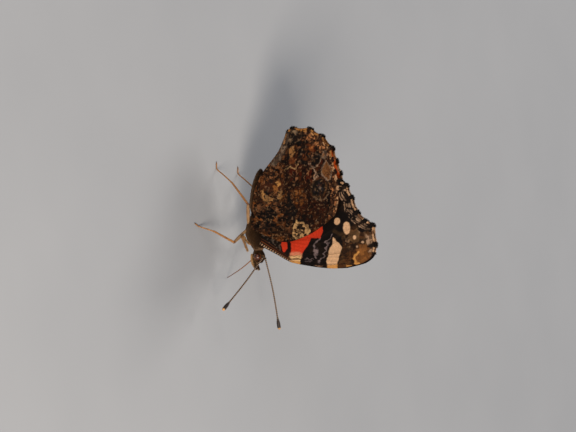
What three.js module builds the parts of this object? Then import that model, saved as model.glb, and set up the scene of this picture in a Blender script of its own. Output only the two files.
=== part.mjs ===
// A red admiral butterfly at rest with its wings closed over its back, life size, in millimetres.
// +X runs forward to the head, +Y to the butterfly's left, +Z up. The feet stand on Z = 0.
import * as THREE from 'three';

// Clear gap kept between pieces that meet.
const GAP = 0.3;
const RAD = Math.PI / 180;

// Body, along the long axis.
const THORAX = { rear: -3.6, front: 4.3, axisZ: 8.1, frontRise: 0.7, halfWidth: 2.3, halfHeight: 2.5 };
const ABDOMEN = { length: 10.9, halfWidth: 1.8, halfHeight: 1.85, tipRise: 1.2 };
const HEAD = { length: 2.9, axisZ: 9.0, halfWidth: 0.8, halfHeight: 1.42 };
const EYE = { radiusX: 0.88, radiusZ: 0.98, depth: 0.8, x: 6.1, z: 9.1 };
const PALP = { length: 3.9, radius: 0.42, spread: 0.62, rise: 24 * RAD, startX: 5.6, startZ: 7.15 };
const PROBOSCIS = { radius: 0.26, startX: 6.3, startZ: 7.35, tipX: 10.6, tipZ: 0.62 };

// Antennae: each runs from the top of the head to its tip, and ends in a club.
const ANTENNA = { radius: 0.26, clubRadius: 0.52, clubLength: 3.2, arch: 0.35, startX: 6.3, startY: 0.55 };
const ANTENNA_REACH = {
  left: new THREE.Vector3(16.6, 6.1, 0.1),
  right: new THREE.Vector3(13.2, -10.7, -4.8),
};

// Wings: thickness of the membrane, how far a vein stands out of it, and the planes they lie in.
const WING = { halfThickness: 0.27, veinHeight: 0.1, veinHalfWidth: 0.24 };
const WING_PLANE = { fore: 0.53, hindOutside: 1.05, rootSpread: 1.05, rootZ: 10.3, closedZ: 15 };
// Behind the forewings the hindwings close in on one another.
const HINDWING_REAR = { startX: -12.4, endX: -21, closing: 0.85 };

// Veins fan out from each root. A vein passes its knee, at the end of the discal cell, and runs on
// to its tip on the margin. Knee and tip are [angle from +Z toward +X in degrees, distance in mm].
// bow bulges the outer stretch, notch is the depth of the scallop that follows the tip, and raised
// is the share of the way at which the vein starts to stand out of the membrane.
const FOREWING = {
  origin: [1.95, 10.0],
  root: [3.4, 0.5],
  cellEnd: 0.46,
  crossVein: ['R5', 'Cu1'],
  veins: [
    { name: 'C', knee: [37.0, 9.7], tip: [31.8, 12.4], bow: 0, notch: -0.05, raised: 0 },
    { name: 'Sc', knee: [31.6, 10.9], tip: [26.6, 16.5], bow: 0, notch: -0.1, raised: 0 },
    { name: 'R1', knee: [26.6, 12.2], tip: [22.7, 20.5], bow: 0.2, notch: -0.1, raised: 0 },
    { name: 'R2', knee: [24.6, 12.9], tip: [19.1, 24.4], bow: 0.3, notch: -0.15, raised: 0.4 },
    { name: 'R3', knee: [22.7, 13.5], tip: [14.3, 28.8], bow: 0.35, notch: -0.4, raised: 0.66 },
    { name: 'R4', knee: [20.9, 14.0], tip: [9.8, 30.95], bow: 0.4, notch: 0.2, raised: 0.66 },
    { name: 'R5', knee: [18.9, 14.4], tip: [5.3, 31.2], bow: 0.45, notch: 0.3, raised: 0.4 },
    { name: 'M1', knee: [14.8, 14.4], tip: [-3.8, 30.55], bow: 0.5, notch: 0.35, raised: 0.44 },
    { name: 'M2', knee: [10.6, 13.9], tip: [-5.9, 28.7], bow: 0.3, notch: 0.4, raised: 0.44 },
    { name: 'M3', knee: [6.2, 13.8], tip: [-11.1, 26.8], bow: 0.2, notch: 0.45, raised: 0.44 },
    { name: 'Cu1', knee: [1.6, 13.0], tip: [-19.8, 26.3], bow: 0, notch: 0.45, raised: 0 },
    { name: 'Cu2', knee: [-6.5, 11.0], tip: [-27.0, 26.3], bow: -0.1, notch: 0.3, raised: 0.34 },
    { name: '2A', knee: [-19.5, 10.4], tip: [-30.9, 25.3], bow: -0.2, notch: 0.1, raised: 0 },
    { name: 'inner', knee: [-27.0, 10.2], tip: [-34.2, 24.2], bow: -0.2, notch: 0, raised: 0 },
  ],
};
const HINDWING = {
  origin: [-0.75, 8.1],
  root: [-0.2, -2.9],
  cellEnd: 0.42,
  crossVein: ['Rs', 'Cu1'],
  veins: [
    { name: 'costa', knee: [27.0, 9.4], tip: [-5.2, 22.9], bow: 1.2, notch: -0.5, raised: 0 },
    { name: 'Sc', knee: [11.0, 9.6], tip: [-17.3, 24.8], bow: 1.6, notch: 0.2, raised: 0 },
    { name: 'Rs', knee: [1.0, 10.6], tip: [-22.6, 25.6], bow: 0.9, notch: 0.35, raised: 0 },
    { name: 'M1', knee: [-6.5, 11.2], tip: [-28.6, 26.1], bow: 0.7, notch: 0.45, raised: 0.3 },
    { name: 'M2', knee: [-13.5, 11.4], tip: [-35.1, 26.9], bow: 0.5, notch: 0.5, raised: 0.4 },
    { name: 'M3', knee: [-20.5, 11.7], tip: [-41.1, 28.1], bow: 0.3, notch: 0.5, raised: 0.4 },
    { name: 'Cu1', knee: [-25.5, 11.4], tip: [-49.4, 28.4], bow: 0.2, notch: 0.5, raised: 0 },
    { name: 'Cu2', knee: [-33.0, 10.6], tip: [-57.0, 28.0], bow: 0.1, notch: 0.45, raised: 0.3 },
    { name: '2A', knee: [-50.0, 10.2], tip: [-66.4, 26.2], bow: 0, notch: 0.2, raised: 0 },
    { name: '3A', knee: [-66.0, 9.4], tip: [-68.6, 24.7], bow: -0.5, notch: -0.1, raised: 0 },
    { name: 'inner', knee: [-84.0, 8.8], tip: [-67.4, 21.0], bow: -0.5, notch: 0, raised: 0 },
  ],
};

// Legs of the left side. Each joint point is [x, y, z]. The feet end on the floor.
const LEG_RADIUS = { femur: 0.42, tibia: 0.33, tarsus: 0.27 };
const FOOT = { length: 1.5, axisHeight: 0.2 };
const LEGS = {
  mid: { rootX: -0.3, rootAngle: 42 * RAD, knee: [2.8, 5.0, 5.1], ankle: [0.6, 10.0, 2.7], foot: [-1.0, 14.5, 0] },
  hind: { rootX: -1.9, rootAngle: 52 * RAD, knee: [-6.1, 4.7, 8.7], ankle: [-11.4, 4.9, 4.5], foot: [-16.6, 4.9, 0] },
};
const FORELEG = {
  rootX: 3.3,
  rootAngle: 48 * RAD,
  knee: [1.5, 2.85, 6.75],
  fold: [1.35, 3.78, 6.35],
  tip: [4.8, 2.8, 7.5],
  radius: 0.3,
};

// Colours and finish of the real animal's parts.
const FINISH = {
  thorax: { color: 0x4a3322, roughness: 0.9, metalness: 0 },
  abdomen: { color: 0x3a2a1f, roughness: 0.9, metalness: 0 },
  head: { color: 0x54402c, roughness: 0.9, metalness: 0 },
  eye: { color: 0x6b3a18, roughness: 0.35, metalness: 0 },
  palp: { color: 0x8a7253, roughness: 0.9, metalness: 0 },
  proboscis: { color: 0xb07a3a, roughness: 0.5, metalness: 0 },
  antenna: { color: 0x1c1815, roughness: 0.6, metalness: 0 },
  forewing: { color: 0x2a211b, roughness: 0.8, metalness: 0 },
  hindwing: { color: 0x4b3a2a, roughness: 0.8, metalness: 0 },
  leg: { color: 0xa9875a, roughness: 0.7, metalness: 0 },
};

const lerp = (a, b, t) => a + (b - a) * t;
const clamp01 = (t) => Math.min(1, Math.max(0, t));
const smooth = (t) => clamp01(t) ** 2 * (3 - 2 * clamp01(t));

// A closed mesh from corner points and triangles, turned so that its faces point out.
function solid(points, triangles) {
  let volume = 0;
  for (const [a, b, c] of triangles) {
    volume += points[a].dot(new THREE.Vector3().crossVectors(points[b], points[c]));
  }
  const facing = volume < 0 ? triangles.map(([a, b, c]) => [a, c, b]) : triangles;
  const geometry = new THREE.BufferGeometry().setFromPoints(points);
  geometry.setIndex(facing.flat());
  geometry.computeVertexNormals();
  return geometry;
}

// A closed skin through rings of equally many points, with a flat cap on each end.
function skin(rings) {
  const sides = rings[0].length;
  const points = rings.flat();
  const triangles = [];
  for (let i = 0; i + 1 < rings.length; i += 1) {
    for (let j = 0; j < sides; j += 1) {
      const a = i * sides + j;
      const b = i * sides + ((j + 1) % sides);
      triangles.push([a, b, b + sides], [a, b + sides, a + sides]);
    }
  }
  for (const [ring, flip] of [[0, true], [rings.length - 1, false]]) {
    const centre = new THREE.Vector3();
    rings[ring].forEach((p) => centre.addScaledVector(p, 1 / sides));
    points.push(centre);
    for (let j = 0; j < sides; j += 1) {
      const a = ring * sides + j;
      const b = ring * sides + ((j + 1) % sides);
      triangles.push(flip ? [points.length - 1, b, a] : [points.length - 1, a, b]);
    }
  }
  return solid(points, triangles);
}

// An upright cross-section of the body: an ellipse, or a squarer one for a power above 2.
function section(x, z, halfWidth, halfHeight, sides, power = 2) {
  const ring = [];
  for (let j = 0; j < sides; j += 1) {
    const angle = (j / sides) * 2 * Math.PI;
    const [c, s] = [Math.cos(angle), Math.sin(angle)];
    const y = halfWidth * Math.sign(c) * Math.abs(c) ** (2 / power);
    const up = halfHeight * Math.sign(s) * Math.abs(s) ** (2 / power);
    ring.push(new THREE.Vector3(x, y, z + up));
  }
  return ring;
}

// A limb: a round skin along a path, its radius given by a function of the share of the way.
// floor flattens whatever would reach below Z = 0.
function limb(path, radiusAt, stations, sides, floor = false) {
  const rings = [];
  for (let i = 0; i <= stations; i += 1) {
    const t = i / stations;
    const centre = path.getPointAt(t);
    const along = path.getTangentAt(t);
    const across = new THREE.Vector3(0, 0, 1).cross(along).normalize();
    const up = new THREE.Vector3().crossVectors(along, across);
    const ring = [];
    for (let j = 0; j < sides; j += 1) {
      const angle = ((j + 0.5) / sides) * 2 * Math.PI;
      const point = centre.clone();
      point.addScaledVector(across, radiusAt(t) * Math.cos(angle));
      point.addScaledVector(up, radiusAt(t) * Math.sin(angle));
      if (floor) point.z = Math.max(0, point.z);
      ring.push(point);
    }
    rings.push(ring);
  }
  return skin(rings);
}

// The thorax at a place along the body: middle height, half width and half height.
function thoraxAt(x) {
  const span = THORAX.front - THORAX.rear;
  const s = (x - THORAX.rear) / span;
  const swell = Math.sin(Math.PI * lerp(0.14, 0.9, s)) ** 0.72;
  return {
    z: THORAX.axisZ + THORAX.frontRise * smooth(x / THORAX.front),
    halfWidth: THORAX.halfWidth * swell,
    halfHeight: THORAX.halfHeight * swell,
  };
}

// The top of the thorax above a point to its side.
function thoraxTop(x, y) {
  const here = thoraxAt(x);
  const inside = Math.max(0, 1 - (y / here.halfWidth) ** 2);
  return here.z + here.halfHeight * Math.sqrt(inside);
}

// A point off the underside of the left of the thorax, by the gap. angle is from straight down.
function underThorax(x, angle, off) {
  const here = thoraxAt(x);
  const y = (here.halfWidth + off) * Math.sin(angle);
  return new THREE.Vector3(x, y, here.z - (here.halfHeight + off) * Math.cos(angle));
}

function thorax() {
  const stations = 16;
  const rings = [];
  for (let i = 0; i <= stations; i += 1) {
    const x = lerp(THORAX.rear, THORAX.front, i / stations);
    const here = thoraxAt(x);
    rings.push(section(x, here.z, here.halfWidth, here.halfHeight, 22));
  }
  return skin(rings);
}

// The abdomen swells behind its narrow waist, then tapers, with shallow grooves between rings.
function abdomen() {
  const stations = 21;
  const segments = 7;
  const grooveDepth = 0.05;
  const start = THORAX.rear - GAP;
  const rings = [];
  for (let i = 0; i <= stations; i += 1) {
    const t = i / stations;
    const waist = 0.62 + 0.38 * smooth(t / 0.25);
    const taper = Math.sqrt(Math.max(0, 1 - (0.97 * Math.max(0, t - 0.3) / 0.7) ** 2.2));
    const groove = i % (stations / segments) === 0 ? 1 - grooveDepth : 1;
    const swell = waist * taper * groove;
    const z = THORAX.axisZ + 0.1 + ABDOMEN.tipRise * t ** 1.3;
    rings.push(section(start - ABDOMEN.length * t, z, ABDOMEN.halfWidth * swell, ABDOMEN.halfHeight * swell, 18));
  }
  return skin(rings);
}

// The head is narrow between its flat cheeks, which the eyes sit against.
function head() {
  const stations = 12;
  const cheekPower = 3.4;
  const start = THORAX.front + GAP;
  const rings = [];
  for (let i = 0; i <= stations; i += 1) {
    const t = i / stations;
    const swell = Math.sin(Math.PI * lerp(0.22, 0.93, t)) ** 0.6;
    rings.push(section(
      start + HEAD.length * t,
      lerp(THORAX.axisZ + THORAX.frontRise, HEAD.axisZ, smooth(t * 2)),
      HEAD.halfWidth * Math.min(1, swell * 1.15),
      HEAD.halfHeight * swell,
      20,
      cheekPower - (cheekPower - 2) * Math.abs(2 * t - 1),
    ));
  }
  return skin(rings);
}

// A domed eye, flat on the side that faces the cheek.
function eye(side) {
  const stations = 7;
  const sides = 20;
  const rings = [];
  for (let i = 0; i <= stations; i += 1) {
    const lift = (i / stations) * 0.97;
    const swell = Math.cos(Math.asin(lift));
    const ring = [];
    for (let j = 0; j < sides; j += 1) {
      const angle = (j / sides) * 2 * Math.PI;
      ring.push(new THREE.Vector3(
        EYE.x + EYE.radiusX * swell * Math.cos(angle),
        side * (HEAD.halfWidth + GAP + EYE.depth * lift),
        EYE.z + EYE.radiusZ * swell * Math.sin(angle),
      ));
    }
    rings.push(ring);
  }
  return skin(rings);
}

// A palp curves up in front of the face from under the head.
function palp(side) {
  const start = new THREE.Vector3(PALP.startX, side * PALP.spread, PALP.startZ);
  const reach = new THREE.Vector3(Math.cos(PALP.rise), 0, Math.sin(PALP.rise)).multiplyScalar(PALP.length);
  const middle = start.clone().addScaledVector(reach, 0.5);
  middle.z -= 0.35;
  const path = new THREE.CatmullRomCurve3([start, middle, start.clone().add(reach)]);
  return limb(path, (t) => PALP.radius * (0.75 + 0.5 * Math.sin(Math.PI * t * 0.8)) * (1 - 0.6 * t ** 4), 8, 8);
}

function proboscis() {
  const start = new THREE.Vector3(PROBOSCIS.startX, 0, PROBOSCIS.startZ);
  const tip = new THREE.Vector3(PROBOSCIS.tipX, 0, PROBOSCIS.tipZ);
  const middle = start.clone().lerp(tip, 0.5);
  middle.x += 0.35;
  return limb(new THREE.CatmullRomCurve3([start, middle, tip]), (t) => PROBOSCIS.radius * (1 - 0.1 * t), 8, 8);
}

// An antenna: a thin shaft that ends in a club with a blunt tip.
function antenna(side, reach) {
  const top = HEAD.axisZ + HEAD.halfHeight + GAP;
  const start = new THREE.Vector3(ANTENNA.startX, side * ANTENNA.startY, top);
  const end = start.clone().add(reach);
  const middle = start.clone().lerp(end, 0.45);
  middle.z += ANTENNA.arch;
  const path = new THREE.CatmullRomCurve3([start, middle, end]);
  const length = reach.length();
  const radiusAt = (t) => {
    const intoClub = 1 - ((1 - t) * length) / ANTENNA.clubLength;
    const club = smooth(intoClub * 1.6) * (1 - 0.45 * smooth((intoClub - 0.8) / 0.2));
    return lerp(ANTENNA.radius, ANTENNA.clubRadius, club);
  };
  return limb(path, radiusAt, 26, 8);
}

// The outline of a limb's length: a little thicker in the middle than at its ends.
function spindle(radius) {
  return (t) => radius * (0.78 + 0.34 * Math.sin(Math.PI * (0.1 + 0.85 * t)));
}

// A joint point of the left side's legs, on the asked side.
function onSide([x, y, z], side) {
  return new THREE.Vector3(x, side * y, z);
}

// A leg has a thigh, a shin and a foot that ends flat on the floor.
function leg(side, place) {
  const knee = onSide(place.knee, side);
  const ankle = onSide(place.ankle, side);
  const toe = onSide(place.foot, side).setZ(FOOT.axisHeight);
  const root = underThorax(place.rootX, place.rootAngle, GAP + LEG_RADIUS.femur * 0.5);
  root.y *= side;
  const after = (from, to) => from.clone().add(to.clone().sub(from).setLength(GAP));
  const flatStep = toe.clone().sub(ankle).setZ(0).setLength(FOOT.length);
  const heel = toe.clone().sub(flatStep).setZ(FOOT.axisHeight * 1.3);
  return {
    femur: limb(new THREE.LineCurve3(root, knee), spindle(LEG_RADIUS.femur), 6, 8),
    tibia: limb(new THREE.LineCurve3(after(knee, ankle), ankle), spindle(LEG_RADIUS.tibia), 6, 8),
    tarsus: limb(
      new THREE.CatmullRomCurve3([after(ankle, heel), ankle.clone().lerp(heel, 0.55), heel, toe]),
      (t) => LEG_RADIUS.tarsus * (1.05 - 0.12 * t),
      12,
      8,
      true,
    ),
  };
}

// The small front legs are held folded against the thorax, the shin beside the thigh.
function foreleg(side) {
  const root = underThorax(FORELEG.rootX, FORELEG.rootAngle, GAP + FORELEG.radius);
  root.y *= side;
  const knee = onSide(FORELEG.knee, side);
  const fold = onSide(FORELEG.fold, side);
  const tip = onSide(FORELEG.tip, side);
  return {
    femur: limb(new THREE.LineCurve3(root, knee), spindle(FORELEG.radius), 6, 8),
    tibia: limb(new THREE.LineCurve3(fold, tip), spindle(FORELEG.radius), 6, 8),
  };
}

// How far a wing's middle lies from the plane between the wings. The wings spread at their roots,
// round the thorax and abdomen, and close above.
function wingSpread(x, z, hind) {
  const open = 1 - smooth((z - WING_PLANE.rootZ) / (WING_PLANE.closedZ - WING_PLANE.rootZ));
  const spread = WING_PLANE.fore + WING_PLANE.rootSpread * open;
  if (!hind) return spread;
  const toRear = smooth((HINDWING_REAR.startX - x) / (HINDWING_REAR.startX - HINDWING_REAR.endX));
  return spread + WING_PLANE.hindOutside - HINDWING_REAR.closing * toRear;
}

// A place on a wing from its angle and distance, as [x, z].
function onWing(wing, [angle, distance]) {
  return [
    wing.origin[0] + distance * Math.sin(angle * RAD),
    wing.origin[1] + distance * Math.cos(angle * RAD),
  ];
}

// A vein's place at a share of its way from the root to the margin, as [x, z].
function veinAt(wing, index, t, hind) {
  const vein = wing.veins[index];
  const share = index / (wing.veins.length - 1);
  const rootX = lerp(wing.root[0], wing.root[1], share);
  const innerFace = wingSpread(0, 0, hind) - WING.halfThickness - WING.veinHeight;
  const root = [rootX, thoraxTop(rootX, innerFace) + GAP];
  const knee = onWing(wing, vein.knee);
  const tip = onWing(wing, vein.tip);
  if (t < wing.cellEnd) {
    const s = t / wing.cellEnd;
    return [lerp(root[0], knee[0], s), lerp(root[1], knee[1], s)];
  }
  const s = (t - wing.cellEnd) / (1 - wing.cellEnd);
  const run = Math.hypot(tip[0] - knee[0], tip[1] - knee[1]);
  const bulge = vein.bow * Math.sin(Math.PI * s);
  return [
    lerp(knee[0], tip[0], s) + (bulge * (tip[1] - knee[1])) / run,
    lerp(knee[1], tip[1], s) - (bulge * (tip[0] - knee[0])) / run,
  ];
}

// Shares of the way at which the wing has a row of points, close together at the cross vein.
function wingRows(wing) {
  const step = 0.018;
  const inner = [0, 0.33, 0.68].map((s) => s * (wing.cellEnd - step));
  const outer = [0.16, 0.36, 0.58, 0.8, 1].map((s) => lerp(wing.cellEnd + step, 1, s));
  return [...inner, wing.cellEnd - step, wing.cellEnd, wing.cellEnd + step, ...outer];
}

// A wing: a thin membrane with the same triangles on both faces. Each vein is a raised line with
// a foot on either side, and the margin is scalloped between the vein tips.
function wing(plan, side, hind) {
  const rows = wingRows(plan);
  const cross = plan.crossVein.map((name) => plan.veins.findIndex((vein) => vein.name === name));
  const lines = [];
  plan.veins.forEach((vein, index) => {
    lines.push({ index, share: 0, crest: true });
    if (index + 1 < plan.veins.length) {
      lines.push({ index, share: 'foot' }, { index, share: 0.5 }, { index, share: 'far foot' });
    }
  });
  const outside = [];
  const inside = [];
  for (const line of lines) {
    const vein = plan.veins[line.index];
    for (const t of rows) {
      const here = veinAt(plan, line.index, t, hind);
      const next = line.crest ? here : veinAt(plan, line.index + 1, t, hind);
      const width = Math.hypot(next[0] - here[0], next[1] - here[1]);
      const foot = line.crest ? 0 : Math.min(0.3, WING.veinHalfWidth / width);
      const share = { foot, 'far foot': 1 - foot }[line.share] ?? line.share;
      const place = [lerp(here[0], next[0], share), lerp(here[1], next[1], share)];
      const toMargin = clamp01((t - plan.cellEnd) / (1 - plan.cellEnd));
      const depth = vein.notch * Math.sin(Math.PI * share) ** 0.8 * toMargin ** 4;
      const fromOrigin = [place[0] - plan.origin[0], place[1] - plan.origin[1]];
      const reach = Math.hypot(fromOrigin[0], fromOrigin[1]);
      const x = place[0] - (depth * fromOrigin[0]) / reach;
      const z = place[1] - (depth * fromOrigin[1]) / reach;
      const onCross = t === plan.cellEnd && line.index >= cross[0] && line.index < cross[1];
      const onVein = line.crest && t >= vein.raised && vein.name !== 'inner';
      const taper = 1 - 0.6 * toMargin;
      const lift = onCross || onVein ? WING.veinHeight * taper : 0;
      const middle = wingSpread(x, z, hind);
      outside.push(new THREE.Vector3(x, side * (middle + WING.halfThickness + lift), z));
      inside.push(new THREE.Vector3(x, side * (middle - WING.halfThickness - lift), z));
    }
  }
  return membrane(outside, inside, lines.length, rows.length);
}

// Joins two like grids of points into a closed sheet with a rim.
function membrane(outside, inside, lineCount, rowCount) {
  const points = [...outside, ...inside];
  const other = outside.length;
  const triangles = [];
  for (let i = 0; i + 1 < lineCount; i += 1) {
    for (let j = 0; j + 1 < rowCount; j += 1) {
      const a = i * rowCount + j;
      const b = a + rowCount;
      triangles.push([a, b, b + 1], [a, b + 1, a + 1]);
      triangles.push([a + other, b + 1 + other, b + other], [a + other, a + 1 + other, b + 1 + other]);
    }
  }
  const rim = [];
  for (let i = 0; i < lineCount; i += 1) rim.push(i * rowCount);
  for (let j = 1; j < rowCount; j += 1) rim.push((lineCount - 1) * rowCount + j);
  for (let i = lineCount - 2; i >= 0; i -= 1) rim.push(i * rowCount + rowCount - 1);
  for (let j = rowCount - 2; j > 0; j -= 1) rim.push(j);
  rim.forEach((a, k) => {
    const b = rim[(k + 1) % rim.length];
    triangles.push([a, a + other, b + other], [a, b + other, b]);
  });
  return solid(points, triangles);
}

const butterfly = new THREE.Group();
function add(name, geometry, finish) {
  const mesh = new THREE.Mesh(geometry, new THREE.MeshStandardMaterial(FINISH[finish]));
  mesh.name = name;
  butterfly.add(mesh);
}

add('head', head(), 'head');
add('thorax', thorax(), 'thorax');
add('abdomen', abdomen(), 'abdomen');
add('proboscis', proboscis(), 'proboscis');
for (const [sideName, side] of [['left', 1], ['right', -1]]) {
  add(`eye_${sideName}`, eye(side), 'eye');
  add(`palp_${sideName}`, palp(side), 'palp');
  add(`antenna_${sideName}`, antenna(side, ANTENNA_REACH[sideName]), 'antenna');
  add(`forewing_${sideName}`, wing(FOREWING, side, false), 'forewing');
  add(`hindwing_${sideName}`, wing(HINDWING, side, true), 'hindwing');
  const legs = { foreleg: foreleg(side) };
  for (const [legName, place] of Object.entries(LEGS)) legs[`${legName}leg`] = leg(side, place);
  for (const [legName, parts] of Object.entries(legs)) {
    for (const [partName, geometry] of Object.entries(parts)) {
      add(`${legName}_${sideName}_${partName}`, geometry, 'leg');
    }
  }
}

// The origin is on the floor, at the middle of the whole animal's box.
const box = new THREE.Box3().setFromObject(butterfly);
const centre = box.getCenter(new THREE.Vector3());
butterfly.position.set(-centre.x, -centre.y, -box.min.z);

export default butterfly;
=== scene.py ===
"""A red admiral butterfly at rest with closed wings, as a life-size museum model."""
import itertools
import math

import bpy
import numpy as np
from mathutils import Matrix, Vector


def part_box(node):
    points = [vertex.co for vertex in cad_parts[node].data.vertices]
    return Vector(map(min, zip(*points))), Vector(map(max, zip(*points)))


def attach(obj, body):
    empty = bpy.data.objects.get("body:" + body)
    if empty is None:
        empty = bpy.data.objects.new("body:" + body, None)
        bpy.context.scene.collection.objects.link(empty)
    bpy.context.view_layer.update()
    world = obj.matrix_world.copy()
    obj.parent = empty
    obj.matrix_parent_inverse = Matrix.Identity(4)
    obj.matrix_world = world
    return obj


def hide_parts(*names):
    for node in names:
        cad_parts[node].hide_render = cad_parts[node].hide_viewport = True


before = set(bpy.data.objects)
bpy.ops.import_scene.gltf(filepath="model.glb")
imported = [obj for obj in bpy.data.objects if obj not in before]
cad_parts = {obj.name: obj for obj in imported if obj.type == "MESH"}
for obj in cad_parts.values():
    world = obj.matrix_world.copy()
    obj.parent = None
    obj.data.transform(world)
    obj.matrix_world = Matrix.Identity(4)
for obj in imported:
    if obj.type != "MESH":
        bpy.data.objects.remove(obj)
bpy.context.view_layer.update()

# Lengths below are in millimetres, in the body's own frame: X = 0 is 3.6 mm in front of the
# thorax's rear end. The frame's box of the thorax says where that lies in the model's frame.
MM = 0.001
THORAX = dict(rear=-3.6, front=4.3, z=8.1, rise=0.7, half_width=2.3, half_height=2.5)
ABDOMEN = dict(start=-3.9, length=10.9, half_width=1.8, half_height=1.85, rise=1.2)
HEAD = dict(start=4.6, length=2.9, z=9.0, half_width=0.8, half_height=1.42)
SHIFT_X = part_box("thorax")[0][0] / MM - THORAX["rear"]

SIDES = (("left", 1), ("right", -1))

random = np.random.default_rng(1758)


def srgb(red, green, blue):
    """A linear colour from a display colour of 0 to 255."""
    channels = np.array([red, green, blue]) / 255
    return np.where(channels <= 0.04045, channels / 12.92, ((channels + 0.055) / 1.055) ** 2.4)


BLACK = srgb(14, 9, 7)
SOOT = srgb(30, 19, 12)
BROWN = srgb(56, 35, 21)
WARM = srgb(80, 47, 22)
OLIVE = srgb(92, 66, 38)
TAN = srgb(138, 102, 66)
GOLD = srgb(196, 138, 72)
CREAM = srgb(220, 176, 120)
WHITE = srgb(208, 166, 128)
PINK_GREY = srgb(168, 136, 112)
GREY = srgb(108, 92, 78)
SLATE = srgb(36, 37, 46)
RED = srgb(198, 54, 28)
ORANGE = srgb(206, 88, 32)
RUST = srgb(112, 56, 22)


def smooth(t):
    """An even rise from 0 to 1, with soft ends."""
    t = np.clip(t, 0, 1)
    return t * t * (3 - 2 * t)


def mix(a, b, t):
    """From a at t = 0 to b at t = 1."""
    return a + (b - a) * t


def value_noise(points, seed):
    """Smooth noise from 0 to 1 at an array of points."""
    cell = np.floor(points).astype(np.int64)
    part = smooth(points - cell)
    total = np.zeros(len(points))
    primes = (374761393, 668265263, 1274126177)
    for corner in itertools.product((0, 1), repeat=points.shape[1]):
        mark = np.full(len(points), seed * 362437, np.int64)
        weight = np.ones(len(points))
        for axis, step in enumerate(corner):
            mark += (cell[:, axis] + step) * primes[axis]
            weight *= part[:, axis] if step else 1 - part[:, axis]
        mark &= 0x7FFFFFFF
        mark = ((mark ^ (mark >> 13)) * 1274126177) & 0x7FFFFFFF
        total += weight * ((mark ^ (mark >> 16)) & 0xFFFF) / 65535
    return total


def fractal(points, size, octaves=3, seed=0):
    """Noise with finer noise added, its largest features about size across."""
    total = np.zeros(len(points))
    weight = 0.0
    for octave in range(octaves):
        share = 0.5 ** octave
        total += share * value_noise(points / (size * share), seed + 17 * octave)
        weight += share
    return total / weight


def spread(noise, low, high):
    """Noise turned into patches: 0 below low, 1 above high."""
    return smooth((noise - low) / (high - low))


def unit(vectors):
    """Vectors scaled to length 1."""
    return vectors / np.linalg.norm(vectors, axis=-1, keepdims=True)


def distance_along(places):
    """How far along its line each place lies."""
    return np.concatenate([[0], np.cumsum(np.linalg.norm(np.diff(places, axis=0), axis=1))])


def headings(places):
    """The direction of a curve at each of its places."""
    return unit(np.gradient(places, axis=0))


def square_to(directions, reference=(0.0, 0.0, 1.0)):
    """Two unit directions square to each direction: one across it, and one up from both."""
    across = unit(np.cross(reference, directions))
    return across, np.cross(directions, across)


def around(across, up, angle):
    """Directions at an angle from across towards up."""
    return across * np.cos(angle)[..., None] + up * np.sin(angle)[..., None]


def full_turn(sides):
    """Angles evenly spaced round a circle."""
    return np.arange(sides) / sides * 2 * math.pi


def shaded(colours, low, high):
    """Colours, each made darker or lighter by chance."""
    return colours * random.uniform(low, high, len(colours))[:, None]


def inset(share, edge):
    """A share of the unwrap, kept off its edges."""
    return edge + (1 - 2 * edge) * share


# Meshes


def mesh_object(name, points, face_groups):
    """An object from points in millimetres and arrays of faces, in the model's frame in metres."""
    mesh = bpy.data.meshes.new(name)
    placed = (np.asarray(points, float) + [SHIFT_X, 0, 0]) * MM
    faces = [np.asarray(group, np.int32) for group in face_groups if len(group)]
    corners = np.concatenate([group.ravel() for group in faces])
    sizes = np.concatenate([np.full(len(group), group.shape[1]) for group in faces])
    starts = np.concatenate([[0], np.cumsum(sizes)[:-1]]).astype(np.int32)
    mesh.vertices.add(len(placed))
    mesh.vertices.foreach_set("co", placed.ravel())
    mesh.loops.add(len(corners))
    mesh.loops.foreach_set("vertex_index", corners)
    mesh.polygons.add(len(sizes))
    mesh.polygons.foreach_set("loop_start", starts)
    mesh.update(calc_edges=True)
    mesh.validate()
    mesh.polygons.foreach_set("use_smooth", np.ones(len(mesh.polygons), bool))
    piece = bpy.data.objects.new(name, mesh)
    bpy.context.scene.collection.objects.link(piece)
    return piece


def set_paint(piece, colours):
    """Stores a colour for each point, which the materials read."""
    paint = piece.data.color_attributes.new(name="paint", type="FLOAT_COLOR", domain="POINT")
    rgba = np.ones((len(colours), 4), np.float32)
    rgba[:, :3] = np.clip(colours, 0, 1)
    paint.data.foreach_set("color", rgba.ravel())


def set_bake_map(piece, point_uv):
    """Stores where each point lies on the unwrap that the coat's colours are baked on."""
    layer = piece.data.uv_layers.new(name="OFBake")
    corners = np.empty(len(piece.data.loops), np.int32)
    piece.data.loops.foreach_get("vertex_index", corners)
    layer.data.foreach_set("uv", point_uv[corners].astype(np.float32).ravel())


def tube_faces(rings, sides):
    """Quads between rings of points, and a fan over each end, whose middles come after the rings."""
    ring = np.arange(rings - 1)[:, None] * sides
    j = np.arange(sides)[None, :]
    k = (j + 1) % sides
    quads = np.stack([ring + j, ring + k, ring + k + sides, ring + j + sides], -1).reshape(-1, 4)
    first, last = rings * sides, rings * sides + 1
    j, k = np.arange(sides), (np.arange(sides) + 1) % sides
    end = (rings - 1) * sides
    fans = np.concatenate([
        np.stack([np.full(sides, first), k, j], -1),
        np.stack([np.full(sides, last), end + j, end + k], -1),
    ])
    return quads, fans


STEPS_PER_BEND = 60


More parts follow.
